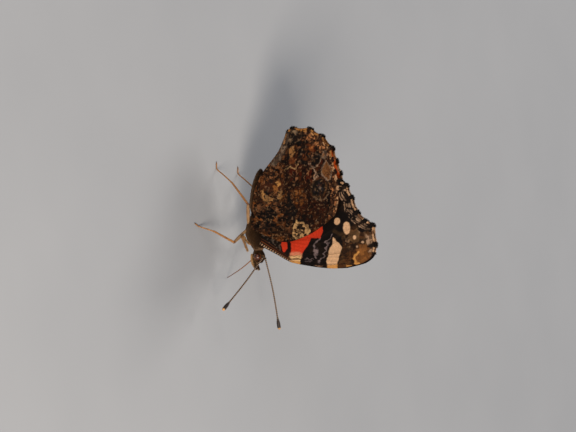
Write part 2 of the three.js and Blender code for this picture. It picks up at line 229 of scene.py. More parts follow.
def curve_through(points, count):
    """Evenly spaced places and directions on a smooth curve through points."""
    points = np.asarray(points, float)
    padded = np.vstack([2 * points[0] - points[1], points, 2 * points[-1] - points[-2]])
    dense = []
    for i in range(len(points) - 1):
        p0, p1, p2, p3 = padded[i:i + 4]
        t = np.linspace(0, 1, STEPS_PER_BEND, endpoint=i == len(points) - 2)[:, None]
        dense.append(0.5 * (2 * p1 + (p2 - p0) * t + (2 * p0 - 5 * p1 + 4 * p2 - p3) * t ** 2
                            + (3 * p1 - p0 - 3 * p2 + p3) * t ** 3))
    dense = np.vstack(dense)
    along = distance_along(dense)
    wanted = np.linspace(0, along[-1], count)
    places = np.stack([np.interp(wanted, along, dense[:, axis]) for axis in range(3)], -1)
    return places, headings(places)


def tube(places, directions, radii, sides, shape=np.ones_like):
    """Points of a tube along a curve. shape(angle) scales the radius round the section."""
    across, up = square_to(directions)
    angle = full_turn(sides)
    ring = around(across[:, None], up[:, None], angle) * shape(angle)[None, :, None]
    points = places[:, None, :] + ring * radii[:, None, None]
    ends = np.stack([
        places[0] - directions[0] * radii[0] * 0.4,
        places[-1] + directions[-1] * radii[-1] * 0.5,
    ])
    return np.vstack([points.reshape(-1, 3), ends])


# A blade of hair has seven points: three round its root, three round its bend, and its tip.
BLADE_FACES = np.array([
    [0, 2, 1], [0, 1, 4], [0, 4, 3], [1, 2, 5], [1, 5, 4], [2, 0, 3], [2, 3, 5],
    [3, 4, 6], [4, 5, 6], [5, 3, 6],
])
# Painted shade: each blade is darker towards its root, deep in the coat.
BLADE_PAINTED_SHADE = (0.55, 0.55, 0.6, 0.95, 0.95, 1.0)
BLADE_PATCH = 0.0015 * np.array([[-1, -1], [1, -1], [0, -1], [-1, 0], [1, 0], [0, 0], [0, 1]])


def tufts(name, roots, leans, normals, lengths, widths, colours, root_uv, lift, tip=1.35):
    """Thin bent blades with three sides that taper to a point, joined as one mesh.

    leans is the way each blade lies, normals is the way out of the skin below it."""
    leans = unit(leans)
    half = unit(np.cross(leans, normals)) * widths[:, None] * 0.5
    high = normals * widths[:, None] * 0.5
    reach, rise = leans * lengths[:, None], normals * (lengths * lift)[:, None]
    below = roots - high * 1.2
    middle = roots + reach * 0.5 + rise
    points = np.stack([
        below + half, below - half, below + high,
        middle + half * 0.8, middle - half * 0.8, middle + high * 0.7,
        roots + reach + rise * 0.9,
    ], 1)
    start = np.arange(len(roots))[:, None, None] * points.shape[1]
    piece = mesh_object(name, points.reshape(-1, 3), [(start + BLADE_FACES).reshape(-1, 3)])
    # Painted shade darkens each blade towards its root, and tip, above 1, is a painted highlight on its end.
    shade = np.append(BLADE_PAINTED_SHADE, tip)
    set_paint(piece, (colours[:, None, :] * shade[None, :, None]).reshape(-1, 3))
    set_bake_map(piece, (root_uv[:, None, :] + BLADE_PATCH).reshape(-1, 2))
    return piece


# Materials


class Shader:
    """A node material, built up step by step."""

    def __init__(self, name, roughness, specular):
        self.material = bpy.data.materials.new(name)
        self.material.use_nodes = True
        self.tree = self.material.node_tree
        self.tree.nodes.clear()
        finish = {"Roughness": roughness, "Specular IOR Level": specular}
        self.surface = self.add("ShaderNodeBsdfPrincipled", finish)
        self.add("ShaderNodeOutputMaterial", {"Surface": self.surface.outputs["BSDF"]})
        self.place = self.add("ShaderNodeTexCoord", {}).outputs["Object"]
        self.normal = {}

    def add(self, kind, inputs, **settings):
        """A node with its settings and its named inputs."""
        node = self.tree.nodes.new(kind)
        for key, value in settings.items():
            setattr(node, key, value)
        self.feed(node, inputs)
        return node

    def feed(self, node, inputs):
        """Sets a node's inputs by name, to a value or to a link from another node's output."""
        for name, value in inputs.items():
            if isinstance(value, bpy.types.NodeSocket):
                self.tree.links.new(value, node.inputs[name])
            else:
                node.inputs[name].default_value = value

    def noise(self, size_mm, detail=3.0):
        """Noise with features about size_mm across."""
        inputs = {"Vector": self.place, "Scale": 1 / (size_mm * MM), "Detail": detail, "Roughness": 0.55}
        return self.add("ShaderNodeTexNoise", inputs).outputs["Fac"]

    def cells(self, size_mm, feature="F1", stretch=(1, 1, 1)):
        """Distance from the middles, or from the edges, of cells about size_mm across."""
        mapping = self.add("ShaderNodeMapping", {"Vector": self.place, "Scale": stretch})
        inputs = {"Vector": mapping.outputs["Vector"], "Scale": 1 / (size_mm * MM)}
        return self.add("ShaderNodeTexVoronoi", inputs, feature=feature).outputs["Distance"]

    def ramp(self, factor, stops):
        """A colour ramp of (place, colour) stops."""
        node = self.add("ShaderNodeValToRGB", {"Fac": factor})
        elements = node.color_ramp.elements
        while len(elements) < len(stops):
            elements.new(0.5)
        for element, (where, colour) in zip(elements, stops):
            element.position = where
            element.color = (*colour, 1)
        return node.outputs["Color"]

    def paint(self):
        """The colours that set_paint stored."""
        node = self.add("ShaderNodeAttribute", {}, attribute_type="GEOMETRY", attribute_name="paint")
        return node.outputs["Color"]

    def multiply(self, colour, factor, low, high):
        """A colour made darker and lighter by a factor from 0 to 1."""
        span = self.ramp(factor, [(0.25, (low,) * 3), (0.75, (high,) * 3)])
        inputs = {"Factor": 1, "A": colour, "B": span}
        return self.add("ShaderNodeMix", inputs, data_type="RGBA", blend_type="MULTIPLY").outputs["Result"]

    def bump(self, height, depth_mm, strength):
        """Relief, on top of any that is there."""
        inputs = {"Height": height, "Distance": depth_mm * MM, "Strength": strength, **self.normal}
        self.normal = {"Normal": self.add("ShaderNodeBump", inputs).outputs["Normal"]}

    def vary_roughness(self, factor, low, high):
        node = self.add("ShaderNodeMapRange", {"Value": factor, "To Min": low, "To Max": high})
        self.feed(self.surface, {"Roughness": node.outputs["Result"]})

    def finish(self, colour):
        self.feed(self.surface, {"Base Color": colour, **self.normal})
        return self.material


def wing_material():
    """Overlapping scales, a little lighter and darker one by one, over the painted markings."""
    shader = Shader("wing_scales", 0.72, 0.1)
    scales = shader.cells(0.11, stretch=(1, 1, 1.5))
    colour = shader.multiply(shader.paint(), scales, 1.12, 0.78)
    colour = shader.multiply(colour, shader.noise(0.35, 2), 0.82, 1.16)
    shader.bump(scales, 0.02, 0.5)
    shader.bump(shader.noise(0.5, 4), 0.03, 0.35)
    shader.vary_roughness(shader.noise(0.9, 2), 0.62, 0.85)
    return shader.finish(colour)


def hair_material(name, roughness=0.62):
    """Hair that takes its colour from each tuft, with a fine streak."""
    shader = Shader(name, roughness, 0.16)
    colour = shader.multiply(shader.paint(), shader.noise(0.16, 2), 0.75, 1.2)
    shader.bump(shader.noise(0.05, 2), 0.01, 0.4)
    shader.vary_roughness(shader.noise(0.4, 2), roughness - 0.1, roughness + 0.12)
    return shader.finish(colour)


def cuticle_material(name, roughness, specular=0.45, grain=0.08, depth=0.02):
    """Horn-like skin with scales, in the painted colours."""
    shader = Shader(name, roughness, specular)
    scales = shader.cells(grain)
    colour = shader.multiply(shader.paint(), scales, 1.1, 0.8)
    colour = shader.multiply(colour, shader.noise(0.3), 0.8, 1.18)
    shader.bump(scales, depth, 0.5)
    shader.bump(shader.noise(0.25), depth, 0.4)
    shader.vary_roughness(shader.noise(0.5, 2), roughness - 0.08, roughness + 0.1)
    return shader.finish(colour)


def eye_material():
    """Rows of tiny facets under a clear gloss, brown with darker clouds."""
    shader = Shader("eye_facets", 0.3, 0.5)
    facets = shader.cells(0.055, "DISTANCE_TO_EDGE")
    clouds = shader.ramp(shader.noise(0.55, 2), [
        (0.35, srgb(44, 20, 9)), (0.5, srgb(96, 44, 16)), (0.7, srgb(140, 74, 30)),
    ])
    colour = shader.multiply(clouds, facets, 0.6, 1.2)
    shader.bump(facets, 0.012, 0.6)
    shader.vary_roughness(shader.noise(0.3, 2), 0.2, 0.4)
    shader.feed(shader.surface, {"Coat Weight": 0.35, "Coat Roughness": 0.12})
    return shader.finish(colour)


WING_MATERIAL = wing_material()
HAIR_MATERIAL = hair_material("body_hair")
FRINGE_MATERIAL = hair_material("wing_fringe", 0.7)
SKIN_MATERIAL = cuticle_material("body_skin", 0.7, 0.3, 0.12, 0.03)
LEG_MATERIAL = cuticle_material("leg_scales", 0.5)
ANTENNA_MATERIAL = cuticle_material("antenna_scales", 0.42, 0.5, 0.07, 0.012)
PROBOSCIS_MATERIAL = cuticle_material("proboscis_horn", 0.35, 0.5, 0.1, 0.012)
EYE_MATERIAL = eye_material()


def dress(piece, material, slot, *nodes):
    """Gives a piece its material and body, and hides the nodes that it stands for. slot is not used."""
    piece.data.materials.append(material)
    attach(piece, "root")
    if nodes:
        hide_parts(*nodes)
    return piece


# Wings

# As in the solids: veins fan out from each root, past a knee at the end of the discal cell, to a
# tip on the margin. Knee and tip are (angle from +Z toward +X in degrees, distance in mm). bow
# bulges the outer stretch, notch is the depth of the scallop after the tip, and raised is where a
# vein starts to stand out.
FOREWING = dict(
    name="forewing", origin=(1.95, 10.0), root=(3.4, 0.5), cell_end=0.46, cross=("R5", "Cu1"),
    veins=[
        ("C", (37.0, 9.7), (31.8, 12.4), 0, -0.05, 0),
        ("Sc", (31.6, 10.9), (26.6, 16.5), 0, -0.1, 0),
        ("R1", (26.6, 12.2), (22.7, 20.5), 0.2, -0.1, 0),
        ("R2", (24.6, 12.9), (19.1, 24.4), 0.3, -0.15, 0.4),
        ("R3", (22.7, 13.5), (14.3, 28.8), 0.35, -0.4, 0.66),
        ("R4", (20.9, 14.0), (9.8, 30.95), 0.4, 0.2, 0.66),
        ("R5", (18.9, 14.4), (5.3, 31.2), 0.45, 0.3, 0.4),
        ("M1", (14.8, 14.4), (-3.8, 30.55), 0.5, 0.35, 0.44),
        ("M2", (10.6, 13.9), (-5.9, 28.7), 0.3, 0.4, 0.44),
        ("M3", (6.2, 13.8), (-11.1, 26.8), 0.2, 0.45, 0.44),
        ("Cu1", (1.6, 13.0), (-19.8, 26.3), 0, 0.45, 0),
        ("Cu2", (-6.5, 11.0), (-27.0, 26.3), -0.1, 0.3, 0.34),
        ("2A", (-19.5, 10.4), (-30.9, 25.3), -0.2, 0.1, 0),
        ("inner", (-27.0, 10.2), (-34.2, 24.2), -0.2, 0, 0),
    ],
)
HINDWING = dict(
    name="hindwing", origin=(-0.75, 8.1), root=(-0.2, -2.9), cell_end=0.42, cross=("Rs", "Cu1"),
    veins=[
        ("costa", (27.0, 9.4), (-5.2, 22.9), 1.2, -0.5, 0),
        ("Sc", (11.0, 9.6), (-17.3, 24.8), 1.6, 0.2, 0),
        ("Rs", (1.0, 10.6), (-22.6, 25.6), 0.9, 0.35, 0),
        ("M1", (-6.5, 11.2), (-28.6, 26.1), 0.7, 0.45, 0.3),
        ("M2", (-13.5, 11.4), (-35.1, 26.9), 0.5, 0.5, 0.4),
        ("M3", (-20.5, 11.7), (-41.1, 28.1), 0.3, 0.5, 0.4),
        ("Cu1", (-25.5, 11.4), (-49.4, 28.4), 0.2, 0.5, 0),
        ("Cu2", (-33.0, 10.6), (-57.0, 28.0), 0.1, 0.45, 0.3),
        ("2A", (-50.0, 10.2), (-66.4, 26.2), 0, 0.2, 0),
        ("3A", (-66.0, 9.4), (-68.6, 24.7), -0.5, -0.1, 0),
        ("inner", (-84.0, 8.8), (-67.4, 21.0), -0.5, 0, 0),
    ],
)
# The middle of each thin wing lies in its solid, towards the plane between the wings.
# Behind the forewings the hindwings close in on one another.
FOREWING.update(plane=0.46, root_faces=0.53, closing=0)
HINDWING.update(plane=1.40, root_faces=1.58, closing=0.85)
# The fringe runs from this vein to the inner margin, and changes to this colour towards the rear.
FOREWING.update(fringe_from="R4", fringe_rear=WHITE)
HINDWING.update(fringe_from="Sc", fringe_rear=mix(GOLD, RUST, 0.3))
REAR_START_X = -12.4
REAR_END_X = -21
WING_ROOT_SPREAD = 1.05
WING_ROOT_Z = 10.3
WING_CLOSED_Z = 15.0
WING_HALF_THICKNESS = 0.055
VEIN_RELIEF = 0.05
VEIN_WIDTH = 0.1
VEIN_BROWNING = 0.22
KNEE_ROUNDING = 0.11
PLEAT_DEPTH = 0.028
FRINGE_LENGTH = 0.5
FRINGE_ROWS = 3
FRINGE_SPACING = 0.075
ROOT_CLEARANCE = 0.3
SOLID_HALF_THICKNESS = 0.37
WING_LINES = 340
WING_ROWS = 220


def thorax_at(x):
    """The solid thorax's middle height, half width and half height at x."""
    s = (x - THORAX["rear"]) / (THORAX["front"] - THORAX["rear"])
    swell = np.sin(math.pi * mix(0.14, 0.9, s)) ** 0.72
    z = THORAX["z"] + THORAX["rise"] * smooth(x / THORAX["front"])
    return z, THORAX["half_width"] * swell, THORAX["half_height"] * swell


def on_wing(plan, place):
    """A place on a wing from its angle and distance."""
    angle, distance = math.radians(place[0]), place[1]
    return np.array(plan["origin"]) + distance * np.array([math.sin(angle), math.cos(angle)])


def vein_straight(plan, index, t):
    """A vein's place with its knee sharp, at shares t of its way."""
    knee, tip, bow = plan["veins"][index][1:4]
    root_x = mix(*plan["root"], index / (len(plan["veins"]) - 1))
    z, half_width, half_height = thorax_at(root_x)
    inner = plan["root_faces"] + WING_ROOT_SPREAD - SOLID_HALF_THICKNESS
    root_z = z + half_height * math.sqrt(max(0, 1 - (inner / half_width) ** 2)) + ROOT_CLEARANCE
    root = np.array([root_x, root_z])
    knee, tip = on_wing(plan, knee), on_wing(plan, tip)
    t = np.clip(t, 0, 1)[:, None]
    end = plan["cell_end"]
    near = mix(root, knee, t / end)
    s = (t - end) / (1 - end)
    outward = np.array([tip[1] - knee[1], knee[0] - tip[0]]) / np.linalg.norm(tip - knee)
    far = mix(knee, tip, s) + bow * np.sin(math.pi * np.clip(s, 0, 1)) * outward
    return np.where(t < end, near, far)


def vein_line(plan, index, t):
    """A vein's place, with its knee rounded."""
    window = KNEE_ROUNDING * np.clip(np.minimum(t, 1 - t) / 0.2, 0, 1)
    offsets = np.linspace(-1, 1, 7)
    return sum(vein_straight(plan, index, t + offset * window) for offset in offsets) / len(offsets)


def wing_grid(plan):
    """A fan of lines from root to margin: each point's place, and where it is among the veins."""
    veins = plan["veins"]
    tips = np.array([on_wing(plan, vein[2]) for vein in veins])
    margin = distance_along(tips)
    along = np.linspace(0, margin[-1], WING_LINES + 1)
    cell = np.clip(np.searchsorted(margin, along, side="right") - 1, 0, len(veins) - 2)
    share = (along - margin[cell]) / (margin[cell + 1] - margin[cell])
    rows = np.linspace(0, 1, WING_ROWS + 1) ** 0.92
    reach = np.linalg.norm(tips - plan["origin"], axis=1)
    lines = np.array([
        vein_line(plan, index, rows * (1 - FRINGE_LENGTH / length)) for index, length in enumerate(reach)
    ])
    place = mix(lines[cell], lines[cell + 1], share[:, None, None])
    notch = np.array([vein[4] for vein in veins])[cell]
    to_margin = np.clip((rows - plan["cell_end"]) / (1 - plan["cell_end"]), 0, 1)
    depth = notch[:, None] * (np.sin(math.pi * share) ** 0.8)[:, None] * to_margin[None, :] ** 4
    place = place - depth[..., None] * unit(place - plan["origin"])
    steps = np.linalg.norm(np.diff(place, axis=0), axis=2)
    return dict(
        x=place[..., 0],
        z=place[..., 1],
        cell=np.repeat(cell[:, None], len(rows), 1),
        share=np.repeat(share[:, None], len(rows), 1),
        t=np.repeat(rows[None, :], len(cell), 0),
        width=np.linalg.norm(lines[cell + 1] - lines[cell], axis=2),
        edge=(1 - rows)[None, :] * mix(reach[cell], reach[cell + 1], share)[:, None],
        from_front=np.vstack([np.zeros(len(rows)), np.cumsum(steps, axis=0)]),
    )


def vein_height(plan, grid):
    """How much of a vein stands at each point, from 0 to 1."""
    height = np.zeros_like(grid["x"])
    raised = np.array([vein[5] for vein in plan["veins"]])
    for side, offset in ((grid["share"], 0), (1 - grid["share"], 1)):
        distance = side * grid["width"]
        index = grid["cell"] + offset
        starts = smooth((grid["t"] - raised[index] + 0.02) / 0.05)
        last = index == len(raised) - 1
        line = np.exp(-(distance / VEIN_WIDTH) ** 2) * starts * np.where(last, 0, 1)
        height = np.maximum(height, line)
    names = [vein[0] for vein in plan["veins"]]
    first, end = (names.index(name) for name in plan["cross"])
    inside = (grid["cell"] >= first) & (grid["cell"] < end)
    bent = plan["cell_end"] - 0.012 * np.sin(math.pi * grid["share"])
    cross = np.exp(-((grid["t"] - bent) * 28 / VEIN_WIDTH) ** 2) * inside
    return np.maximum(height, 0.8 * cross)


def wing_plane(plan, x, z):
    """How far the thin wing's middle lies from the plane between the wings."""
    still_open = 1 - smooth((z - WING_ROOT_Z) / (WING_CLOSED_Z - WING_ROOT_Z))
    closing = plan["closing"] * smooth((REAR_START_X - x) / (REAR_START_X - REAR_END_X))
    wave = fractal(np.stack([x.ravel(), z.ravel()], -1), 6.0, 2, 5).reshape(x.shape) - 0.5
    return plan["plane"] + WING_ROOT_SPREAD * still_open - closing + 0.12 * wave * smooth((z - 12) / 6)


# The marbling has more contrast than the colours that it is made of, and is a little warmer.
MARBLING_GAIN = np.array([1.48, 1.24, 1.0])
MARBLING_DEPTH = 1.55


class Canvas:
    """The colours of a wing's face, on which markings are laid one over another."""

    def __init__(self, grid, seed):
        for key in ("x", "z", "edge", "share", "cell", "width", "from_front"):
            setattr(self, key, grid[key].ravel())
        self.points = np.stack([self.x, self.z], -1)
        self.seed = seed
        ragged = [fractal(self.points, 0.7, 3, seed + axis) - 0.5 for axis in range(2)]
        frayed = [fractal(self.points, 0.28, 2, seed + 5 + axis) - 0.5 for axis in range(2)]
        self.warped = self.points + 0.9 * np.stack(ragged, -1) + 0.3 * np.stack(frayed, -1)
        self.to_vein = np.minimum(self.share, 1 - self.share) * self.width
        self.rgb = np.zeros((len(self.x), 3))

    def noise(self, size, octaves=3, seed=0, stretch=(1, 1)):
        return fractal(self.warped * stretch, size, octaves, self.seed + seed)

    def lay(self, mask, colour, strength=1.0):
        weight = (np.clip(mask, 0, 1) * strength)[:, None]
        self.rgb = self.rgb * (1 - weight) + colour * weight

    def islands(self, mask, size, colours, seed, share=0.5, outline=None, strength=1.0, stretch=(1, 1)):
        """Ragged islands of mixed colours, with a dark outline."""
        field = self.noise(size, 2, seed, stretch)
        tint = spread(self.noise(size * 0.7, 2, seed + 50, stretch), 0.35, 0.65)[:, None]
        if outline is not None:
            self.lay(mask * spread(field, share - 0.06, share - 0.03), outline, strength)
        self.lay(mask * spread(field, share, share + 0.035), mix(colours[0], colours[1], tint), strength)

    def scribble(self, mask, size, colour, seed, strength=0.8, half=0.03, stretch=(1, 1)):
        """Thin wandering lines."""
        field = np.abs(self.noise(size, 3, seed, stretch) - 0.5)
        self.lay(mask * (1 - smooth((field - half * 0.4) / half)), colour, strength)

    def round(self, centre, radii, tilt=0.0, soft=0.15, ragged=0.35):
        """A soft-edged oval. centre is (x, z), radii are along x and z before the tilt."""
        at = mix(self.points, self.warped, ragged) - centre
        angle = math.radians(tilt)
        a = at[:, 0] * math.cos(angle) + at[:, 1] * math.sin(angle)
        b = at[:, 1] * math.cos(angle) - at[:, 0] * math.sin(angle)
        size = np.sqrt((a / radii[0]) ** 2 + (b / radii[1]) ** 2)
        return 1 - smooth((size - 1 + soft) / (2 * soft))

    def patch(self, corners, soft=0.12, ragged=0.35):
        """A soft-edged shape with the given (x, z) corners."""
        at = mix(self.points, self.warped, ragged)
        corners = np.asarray(corners, float)
        inside = np.zeros(len(at), bool)
        nearest = np.full(len(at), 1e9)
        for a, b in zip(corners, np.roll(corners, -1, axis=0)):
            nearest = np.minimum(nearest, self.to_line(at, a, b))
            crosses = (a[1] > at[:, 1]) != (b[1] > at[:, 1])
            rise = b[1] - a[1] if b[1] != a[1] else 1e-9
            meets = a[0] + (at[:, 1] - a[1]) * (b[0] - a[0]) / rise
            inside ^= crosses & (at[:, 0] < meets)
        depth = np.where(inside, nearest, -nearest)
        return smooth((depth + soft) / (2 * soft))

    def stroke(self, points, width, soft=0.08, ragged=0.5):
        """A soft-edged line through (x, z) points."""
        at = mix(self.points, self.warped, ragged)
        points = np.asarray(points, float)
        nearest = np.full(len(at), 1e9)
        for a, b in zip(points, points[1:]):
            nearest = np.minimum(nearest, self.to_line(at, a, b))
        return 1 - smooth((nearest - width / 2 + soft) / (2 * soft))

    def fill(self, colour, strength, *form):
        self.lay(self.patch(*form), colour, strength)

    def draw(self, colour, strength, *form):
        self.lay(self.stroke(*form), colour, strength)

    def dot(self, colour, strength, *form):
        self.lay(self.round(*form), colour, strength)

    @staticmethod
    def to_line(at, a, b):
        along = b - a
        t = np.clip(((at - a) @ along) / max(along @ along, 1e-12), 0, 1)
        return np.linalg.norm(at - a - t[:, None] * along, axis=1)

    def band(self, near, far, soft=0.1, wobble=0.25, scallop=0.0, seed=3):
        """A strip along the margin, from near to far millimetres inside it.

        scallop bends it inward in the middle of each cell."""
        bend = scallop * np.sin(math.pi * self.share)
        edge = self.edge - bend + wobble * 2 * (self.noise(0.9, 2, seed) - 0.5)
        return smooth((edge - near + soft) / (2 * soft)) * (1 - smooth((edge - far + soft) / (2 * soft)))

    def teeth(self, half, depth, soft=0.12):
        """Wedges at the tips of the veins, half as wide at the margin as they are together."""
        reach = half * (1 - self.edge / depth) + 0.25 * (self.noise(0.6, 2, 30) - 0.5)
        return smooth((reach - self.to_vein + soft) / (2 * soft)) * (self.edge < depth)


def paint_hind_underside(grid):
    """Marbled like bark: brown, black and grey, with eye spots, a cream patch and a pale margin."""
    c = Canvas(grid, 100)
    everywhere = np.ones(len(c.x))
    c.lay(everywhere, mix(SOOT, BLACK, 0.4))
    c.lay(spread(c.noise(2.6, 3, 1), 0.42, 0.6), BROWN, 0.8)
    c.islands(everywhere, 0.95, (OLIVE, TAN), 2, 0.55, BLACK, 0.85)

    # The base is scribbled over with black, grey and tan, in bands that follow the front edge.
    basal = c.patch([(5.5, 7), (5.5, 18.2), (2.2, 19.4), (-2, 18.6), (-7.4, 17.4), (-7.8, 7)], 0.9)
    along_front = np.array([1.35, 0.85])
    c.lay(basal, mix(SOOT, BLACK, 0.5), 0.9)
    c.islands(basal, 1.5, (OLIVE, TAN), 5, 0.5, BLACK, 1.0, along_front)
    c.islands(basal, 0.95, (mix(GREY, OLIVE, 0.3), mix(PINK_GREY, OLIVE, 0.45)), 7, 0.62, BLACK, 0.85)
    c.scribble(basal, 1.7, BLACK, 6, 0.98, 0.06, along_front)
    c.scribble(basal, 1.5, mix(PINK_GREY, GREY, 0.4), 8, 0.45, 0.02, along_front)
    front = smooth((c.x + 0.6) / 1.6) * smooth((18.6 - c.z) / 1.0)
    c.lay(front, mix(OLIVE, BLACK, 0.5), 0.85)
    c.islands(front, 1.7, (TAN, OLIVE), 20, 0.52, BLACK, 0.95, np.array([2.4, 0.5]))
    c.scribble(front, 1.5, BLACK, 21, 0.95, 0.06, np.array([2.2, 0.5]))

    # The strip along the inner margin is finely checked with tan and grey.
    inner = c.patch([(-8, 7), (-8, 16.0), (-14.5, 16.8), (-19.8, 17.0), (-20, 13), (-12, 7)], 0.8)
    c.lay(inner, mix(SOOT, OLIVE, 0.2), 0.85)
    c.islands(inner, 0.8, (TAN, mix(OLIVE, TAN, 0.3)), 9, 0.53, BLACK, 0.9)
    c.islands(inner, 0.6, (mix(PINK_GREY, OLIVE, 0.25), mix(PINK_GREY, TAN, 0.5)), 10, 0.62, BLACK, 0.8)
    c.scribble(inner, 0.9, BLACK, 11, 0.9, 0.045)

    # The middle is warm brown, less broken up.
    warm = c.patch([(-9.5, 18.8), (-10.2, 23.0), (-7.0, 24.8), (-6, 28.3), (-1.5, 28.6), (0.4, 24.6),
                    (-1.6, 21.4), (-4.0, 20.2)], 0.8, 0.8)
    c.lay(warm, mix(WARM, SOOT, 0.35), 0.92)
    c.islands(
        warm, 1.6, (mix(WARM, OLIVE, 0.6), mix(OLIVE, WARM, 0.3)), 12, 0.5, mix(WARM, BLACK, 0.75), 0.8)
    c.islands(warm, 1.0, (mix(RUST, WARM, 0.4), WARM), 13, 0.6, None, 0.5)
    c.scribble(warm, 1.7, BLACK, 14, 0.75, 0.035)
    olive = c.patch([(-9, 18.6), (-9.4, 22.2), (-6.4, 23.2), (-5.0, 21.0), (-6.0, 19.2)], 0.4, 0.9)
    c.lay(olive, mix(OLIVE, TAN, 0.25), 0.75)
    c.islands(olive, 0.8, (SOOT, WARM), 39, 0.55, None, 0.7)
    c.islands(olive, 0.42, (mix(TAN, CREAM, 0.2), TAN), 15, 0.57, SOOT, 0.8)

    # The outer half is rusty and black, under the eye spots.
    outer_half = c.patch([(-15.8, 17.8), (-20.5, 20.5), (-20, 26), (-14, 29.5), (-8, 29.0), (-10.4, 23.6),
                          (-11.0, 18.4)], 0.8, 0.9)
    c.lay(outer_half, mix(SOOT, WARM, 0.3), 0.9)
    c.islands(outer_half, 1.3, (mix(RUST, WARM, 0.5), OLIVE), 16, 0.5, BLACK, 0.95)
    c.islands(outer_half, 0.8, (mix(GREY, PINK_GREY, 0.5), PINK_GREY), 17, 0.63, BLACK, 0.75)

    # The margin: a grey-pink band, broken at the veins and between scalloped dark lines.
    outer = smooth((-c.x - 0.8) / 2.4) * smooth((c.z - 16.8) / 1.2)
    c.lay(outer * c.band(2.2, 3.2, 0.15, 0.4, 0.5), BLACK, 0.85)
    c.lay(outer * c.band(0.4, 2.5, 0.15, 0.3, 0.3), mix(PINK_GREY, BROWN, 0.75), 0.95)
    strip = outer * c.band(0.45, 2.3, 0.12, 0.3, 0.3)
    c.islands(strip, 0.85, (mix(PINK_GREY, TAN, 0.3), mix(PINK_GREY, WHITE, 0.5)), 23, 0.5, SOOT, 0.95)
    c.scribble(strip, 0.9, BLACK, 24, 0.85, 0.04)
    c.lay(outer * c.band(1.25, 1.5, 0.07, 0.3, 0.3), BLACK, 0.85)
    c.rgb = MARBLING_GAIN * c.rgb ** MARBLING_DEPTH

    # The black wedge of the middle, and golden patches with dark red-brown bars beside them.
    c.fill(BLACK, 0.98, [
        (-8.8, 17.8), (-6.6, 17.5), (-3.4, 18.2), (-2.4, 20.1), (-4.4, 20.4), (-5.4, 19.5), (-6.6, 18.9)
    ], 0.15, 0.7)
    c.fill(BLACK, 0.8, [(-5.0, 17.0), (-2.4, 17.2), (-1.6, 19.4), (-2.6, 20.0), (-4.4, 18.6)], 0.3, 0.8)
    c.fill(mix(BLACK, RUST, 0.25), 0.9, [
        (-11.6, 13.4), (-11.8, 16.8), (-9.2, 16.8), (-9.0, 10.6), (-10.6, 10.6)
    ], 0.3, 1.0)
    golden = c.patch([(-9.4, 10.9), (-9.3, 16.0), (-7.4, 16.2), (-6.2, 14.0), (-6.9, 11.4)], 0.3, 1.0)
    c.islands(golden, 0.8, (mix(GOLD, TAN, 0.55), mix(TAN, OLIVE, 0.5)), 22, 0.5, BLACK, 0.97)
    c.dot(mix(GOLD, TAN, 0.3), 0.95, (-10.9, 15.2), (0.72, 0.62), 0, 0.25, 1.0)
    c.dot(mix(RUST, GOLD, 0.3), 0.85, (-9.7, 14.4), (0.75, 0.6), 0, 0.3, 1.0)

    # The cream patch on the front edge, speckled in its middle, with a point behind it.
    c.fill(BLACK, 0.8, [
        (3.3, 20.4), (2.4, 19.0), (0.6, 18.4), (-1.6, 19.0), (-2.6, 20.3), (-1.7, 22.6), (-0.3, 24.2),
        (1.8, 24.4), (2.8, 22.4)
    ], 0.25, 0.8)
    c.fill(mix(CREAM, TAN, 0.45), 1, [
        (2.8, 20.2), (1.9, 19.0), (0.8, 18.8), (-0.4, 19.1), (-2.2, 20.1), (-1.1, 20.9), (-1.3, 22.1),
        (-0.3, 23.3), (1.5, 23.7), (2.4, 22.2)
    ], 0.12, 1.0)
    speck = c.round((0.8, 21.2), (1.85, 2.0), 0, 0.2, 0.8)
    c.lay(speck, mix(TAN, CREAM, 0.3), 0.7)
    c.islands(speck, 0.5, (BLACK, mix(BLACK, OLIVE, 0.3)), 37, 0.44)

    # The eye spots of the outer half.
    eye_spots = (
        ((-17.4, 22.2), (2.1, 1.8), 0, mix(RUST, BROWN, 0.3)),
        ((-15.8, 25.1), (1.2, 1.5), 20, GREY),
        ((-9.2, 26.0), (2.05, 1.85), -15, mix(TAN, SOOT, 0.4)),
    )
    broken = spread(c.noise(1.2, 2, 35), 0.42, 0.55)
    for centre, radii, tilt, halo in eye_spots:
        c.lay(c.round(centre, (radii[0] * 1.22, radii[1] * 1.22), tilt, 0.15, 1.0) * broken, halo, 0.3)
        c.dot(BLACK, 0.99, centre, radii, tilt, 0.12, 1.0)
    c.islands(
        c.round((-17.5, 22.4), (1.5, 1.2), 0, 0.25), 0.7, (mix(RUST, BLACK, 0.3), WARM), 32, 0.5, None, 0.9)
    c.islands(
        c.round((-9.2, 26.0), (1.5, 1.4), 0, 0.25), 0.5, (SLATE, mix(SLATE, BLACK, 0.5)), 19, 0.6, None,
        0.8)
    c.dot(mix(SLATE, GREY, 0.7), 0.9, (-9.3, 26.4), (0.45, 0.38), 0, 0.3, 0.7)
    c.draw(BLACK, 0.97, [
        (-20.6, 20.4), (-19.6, 21.2), (-17.4, 20.6), (-15.6, 21.2), (-15.1, 23.0)
    ], 0.75, 0.14, 0.8)
    c.dot(BLACK, 0.98, (-12.6, 26.1), (1.1, 0.5), 0, 0.25, 0.8)
    c.fill(mix(RUST, SOOT, 0.2), 0.9, [
        (-20.0, 22.6), (-19.6, 24.6), (-18.0, 24.4), (-18.4, 23.0)
    ], 0.2, 1.0)
    c.dot(mix(mix(ORANGE, GOLD, 0.5), RUST, 0.3), 0.9, (-18.9, 23.6), (0.42, 0.5), 0, 0.25, 1.0)

